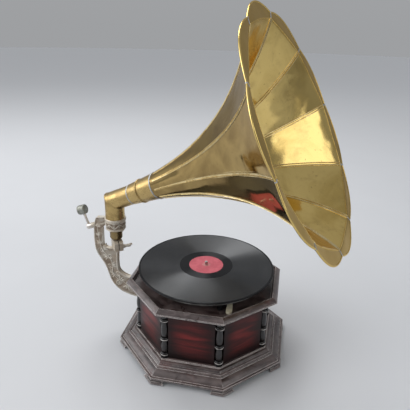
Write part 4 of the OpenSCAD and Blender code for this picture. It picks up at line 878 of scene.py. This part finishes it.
def scroll(centre, start, radius, hand):
    """A spiral that winds in towards its centre."""
    t = np.linspace(0, 1, SCROLL_POINTS)
    angle = start + hand * 2 * np.pi * SCROLL_TURNS * t
    reach = radius * (1 - SCROLL_WINDS_IN * t)
    return np.stack([centre[0] + reach * np.cos(angle), centre[1] + reach * np.sin(angle)], -1)


def make_bracket_vine():
    """Raised vine scrolls, leaves and a rim on both faces of the cast arm."""
    part = Part()
    stem = smooth_path(ARM_STEM, STEM_STEPS)
    heading = unit(np.gradient(stem, axis=0))
    aside = np.stack([-heading[:, 1], heading[:, 0]], -1)
    share = np.linspace(0, 1, len(stem))
    room = np.interp(share, *VINE_ROOM)
    wave = stem + aside * (room * STEM_SWAY * np.sin(share * STEM_WAVES * np.pi))[:, None]
    for side in (-1, 1):
        for edge in (ARM_BACK, ARM_FRONT):
            lay(part, smooth_path(edge, STEM_STEPS), side, RIM_RIDGE)
        lay(part, wave, side, STEM_RIDGE)
        for k in range(SCROLLS):
            at = round((k + 0.5) / SCROLLS * (len(stem) - 1))
            hand = 1 if k % 2 else -1
            out, ahead, size = hand * aside[at], heading[at], room[at]
            centre = stem[at] - out * size * SCROLL_OFF
            curl = scroll(centre, math.atan2(out[1], out[0]), size * SCROLL_R, hand)
            lay(part, curl, side, SCROLL_RIDGE)
            for lean in LEAF_LEANS:
                root = stem[at] + out * size * LEAF_ROOT + ahead * lean * LEAF_SPREAD
                tip = stem[at] + out * size * LEAF_TIP + ahead * lean * size
                middle = (root + tip) / 2 + ahead * LEAF_BOW
                lay(part, smooth_path([root, middle, tip], LEAF_STEPS), side, LEAF_RIDGE)
    part.make("bracket_vine", PATINA, "case", "cast_patina", angle=60)


# The socket's band: its two beads, the wave between them and a curl in each hollow of the wave
BAND_POINTS = 168
BAND_WAVES = 6
BAND_SWING = 3.8
CURL_POINTS = 24
CURL_TURNS = 1.3
CURL_R = 3.2
CURL_WINDS_IN = 0.75
CURL_OFF = 2.2
BEAD_RIDGE = (1.0, 0.9)
WAVE_RIDGE = (1.1, 1.3)
CURL_RIDGE = (1.0, 1.2)


def make_socket_band():
    """Embossed running scroll round the socket, between two beads."""
    part = Part()

    def around(turns, heights, ridge, closed=True):
        radial = np.stack([np.cos(turns), np.sin(turns), 0 * turns], -1)
        points = radial * SOCKET_OUT + np.stack([0 * turns + SOCKET_X, 0 * turns, heights], -1)
        sizes = np.ones(len(turns)) if closed else np.linspace(1, 0.5, len(turns))
        part.add(*loft(points, radial, tapered(ellipse(*ridge, 8), sizes), closed))

    turns = full_turn(BAND_POINTS)
    for edge in (-BAND_HALF, BAND_HALF):
        around(turns, 0 * turns + BAND_Z + edge, BEAD_RIDGE)
    around(turns, BAND_Z + BAND_SWING * np.sin(BAND_WAVES * turns), WAVE_RIDGE)
    t = np.linspace(0, 1, CURL_POINTS)
    angle = np.pi / 2 + 2 * np.pi * CURL_TURNS * t
    reach = CURL_R * (1 - CURL_WINDS_IN * t)
    for k in range(2 * BAND_WAVES):
        middle = (k + 0.5) * np.pi / BAND_WAVES
        sign = 1 if k % 2 else -1
        heights = BAND_Z - sign * CURL_OFF + sign * reach * np.sin(angle)
        around(middle + reach * np.cos(angle) / SOCKET_OUT, heights, CURL_RIDGE, closed=False)
    part.make("socket_band", PATINA, "case", "cast_patina", angle=60)


for number in range(1, PETALS + 1):
    make_petal(number)
make_seams()
make_solder_bands()
make_mitre_solder()
make_bracket_vine()
make_socket_band()

# Stage, in metres: the floor's rim, and the lamps' places, sizes and watts
FLOOR_R = 14
FLOOR_SIDES = 96
NEAR_FLOOR, FAR_FLOOR = 0.8, 4.5
LAMP_AIM = (0, 0, 0.3)
KEY_AT = (-2.9, -1.1, 2.1)
LAMPS = {
    "key": (KEY_AT, (3.4, 2.8), 66),
    "fill": ((2.0, -1.2, 1.4), (1.7, 1.9), 13),
    "top": ((-0.86, 1.31, 2.56), (1.6, 1.2), 38),
}

# Room light: the span of a direction's value, then its strength or share at the two ends
HALO = (0.60, 0.97, 0.0, 0.7)
AHEAD = (-0.9, 0.6, 0.60, 1.0)
RIGHT = (0.2, 1.0, 1.0, 0.85)
OVERHEAD = (0.0, 0.9, 0.36, 0.46)
ROOM_COLOUR = (0.95, 0.97, 1.0)

# Camera fitted to the photograph: metres for its place, degrees for its turns, millimetres for its lens
CAMERA_AT = (0.15586, -0.83612, 0.68473)
CAMERA_TURN = 10.97
CAMERA_TILT = 22.34
CAMERA_ROLL = 1.46
CAMERA_LENS = 37.99
CAMERA_SENSOR = 36


def stage_material():
    """A pale painted floor, a little paler far off, where less light falls."""
    s = Shader("stage_grey", Roughness=0.85, Specular_IOR_Level=0.2)
    grey, light_grey, far_grey = (0.57, 0.58, 0.60), (0.61, 0.62, 0.64), (0.74, 0.75, 0.77)
    near = s.mix(s.noise(s.place(), 3.0, 4, 0.5), grey, light_grey)
    s.feed(Base_Color=s.mix(s.ramp(s.ring_distance(), NEAR_FLOOR, FAR_FLOOR), near, far_grey))
    return s.material


def make_floor():
    """A round floor whose rim lies far off."""
    mesh = bpy.data.meshes.new("floor")
    rim = [(FLOOR_R * math.cos(t), FLOOR_R * math.sin(t), 0) for t in full_turn(FLOOR_SIDES)]
    mesh.from_pydata(rim, [], [tuple(range(FLOOR_SIDES))])
    mesh.materials.append(stage_material())
    floor = bpy.data.objects.new("floor", mesh)
    bpy.context.scene.collection.objects.link(floor)


def make_world():
    """A studio room: paler overhead and round the key lamp, darker behind the camera and to the right."""
    world = bpy.data.worlds.new("studio")
    bpy.context.scene.world = world
    sky = Nodes(world)
    ray = sky.add("TexCoord").outputs["Generated"]
    key = Vector(KEY_AT).normalized()
    nearness = sky.add("VectorMath", {"operation": "DOT_PRODUCT"}, _0=ray, _1=key).outputs["Value"]
    halo = sky.ramp(nearness, *HALO, "LINEAR")
    x, y, z = sky.axes(ray)
    ahead = sky.ramp(y, *AHEAD, "LINEAR")
    right = sky.ramp(x, *RIGHT, "LINEAR")
    overhead = sky.ramp(z, *OVERHEAD, "LINEAR")
    room = sky.times(overhead, sky.times(ahead, right))
    back = sky.add("Background", Color=ROOM_COLOUR, Strength=sky.math("ADD", room, halo))
    sky.add("OutputWorld", Surface=back.outputs[0])


def make_light(name, place, size, power):
    """A soft rectangular lamp, out of the camera's sight."""
    lamp = bpy.data.lights.new(name, "AREA")
    lamp.shape = "RECTANGLE"
    lamp.size, lamp.size_y = size
    lamp.energy = power
    light = bpy.data.objects.new(name, lamp)
    light.visible_camera = False
    light.location = place
    light.rotation_mode = "QUATERNION"
    light.rotation_quaternion = (Vector(LAMP_AIM) - Vector(place)).to_track_quat("-Z", "Y")
    bpy.context.scene.collection.objects.link(light)


def make_camera():
    data = bpy.data.cameras.new("camera")
    data.lens, data.sensor_width = CAMERA_LENS, CAMERA_SENSOR
    turn, tilt, roll = (math.radians(a) for a in (CAMERA_TURN, CAMERA_TILT, CAMERA_ROLL))
    back = Vector((math.sin(turn) * math.cos(tilt), -math.cos(turn) * math.cos(tilt), math.sin(tilt)))
    right = Vector((math.cos(turn), math.sin(turn), 0))
    up = back.cross(right)
    rolled_right = right * math.cos(roll) + up * math.sin(roll)
    rolled_up = up * math.cos(roll) - right * math.sin(roll)
    facing = Matrix((rolled_right, rolled_up, back)).transposed().to_4x4()
    camera = bpy.data.objects.new("camera", data)
    camera.matrix_world = Matrix.Translation(CAMERA_AT) @ facing
    bpy.context.scene.collection.objects.link(camera)
    bpy.context.scene.camera = camera


make_floor()
make_world()
for name, (place, size, power) in LAMPS.items():
    make_light(name, place, size, power)
make_camera()
bpy.context.scene.view_settings.view_transform = "Standard"
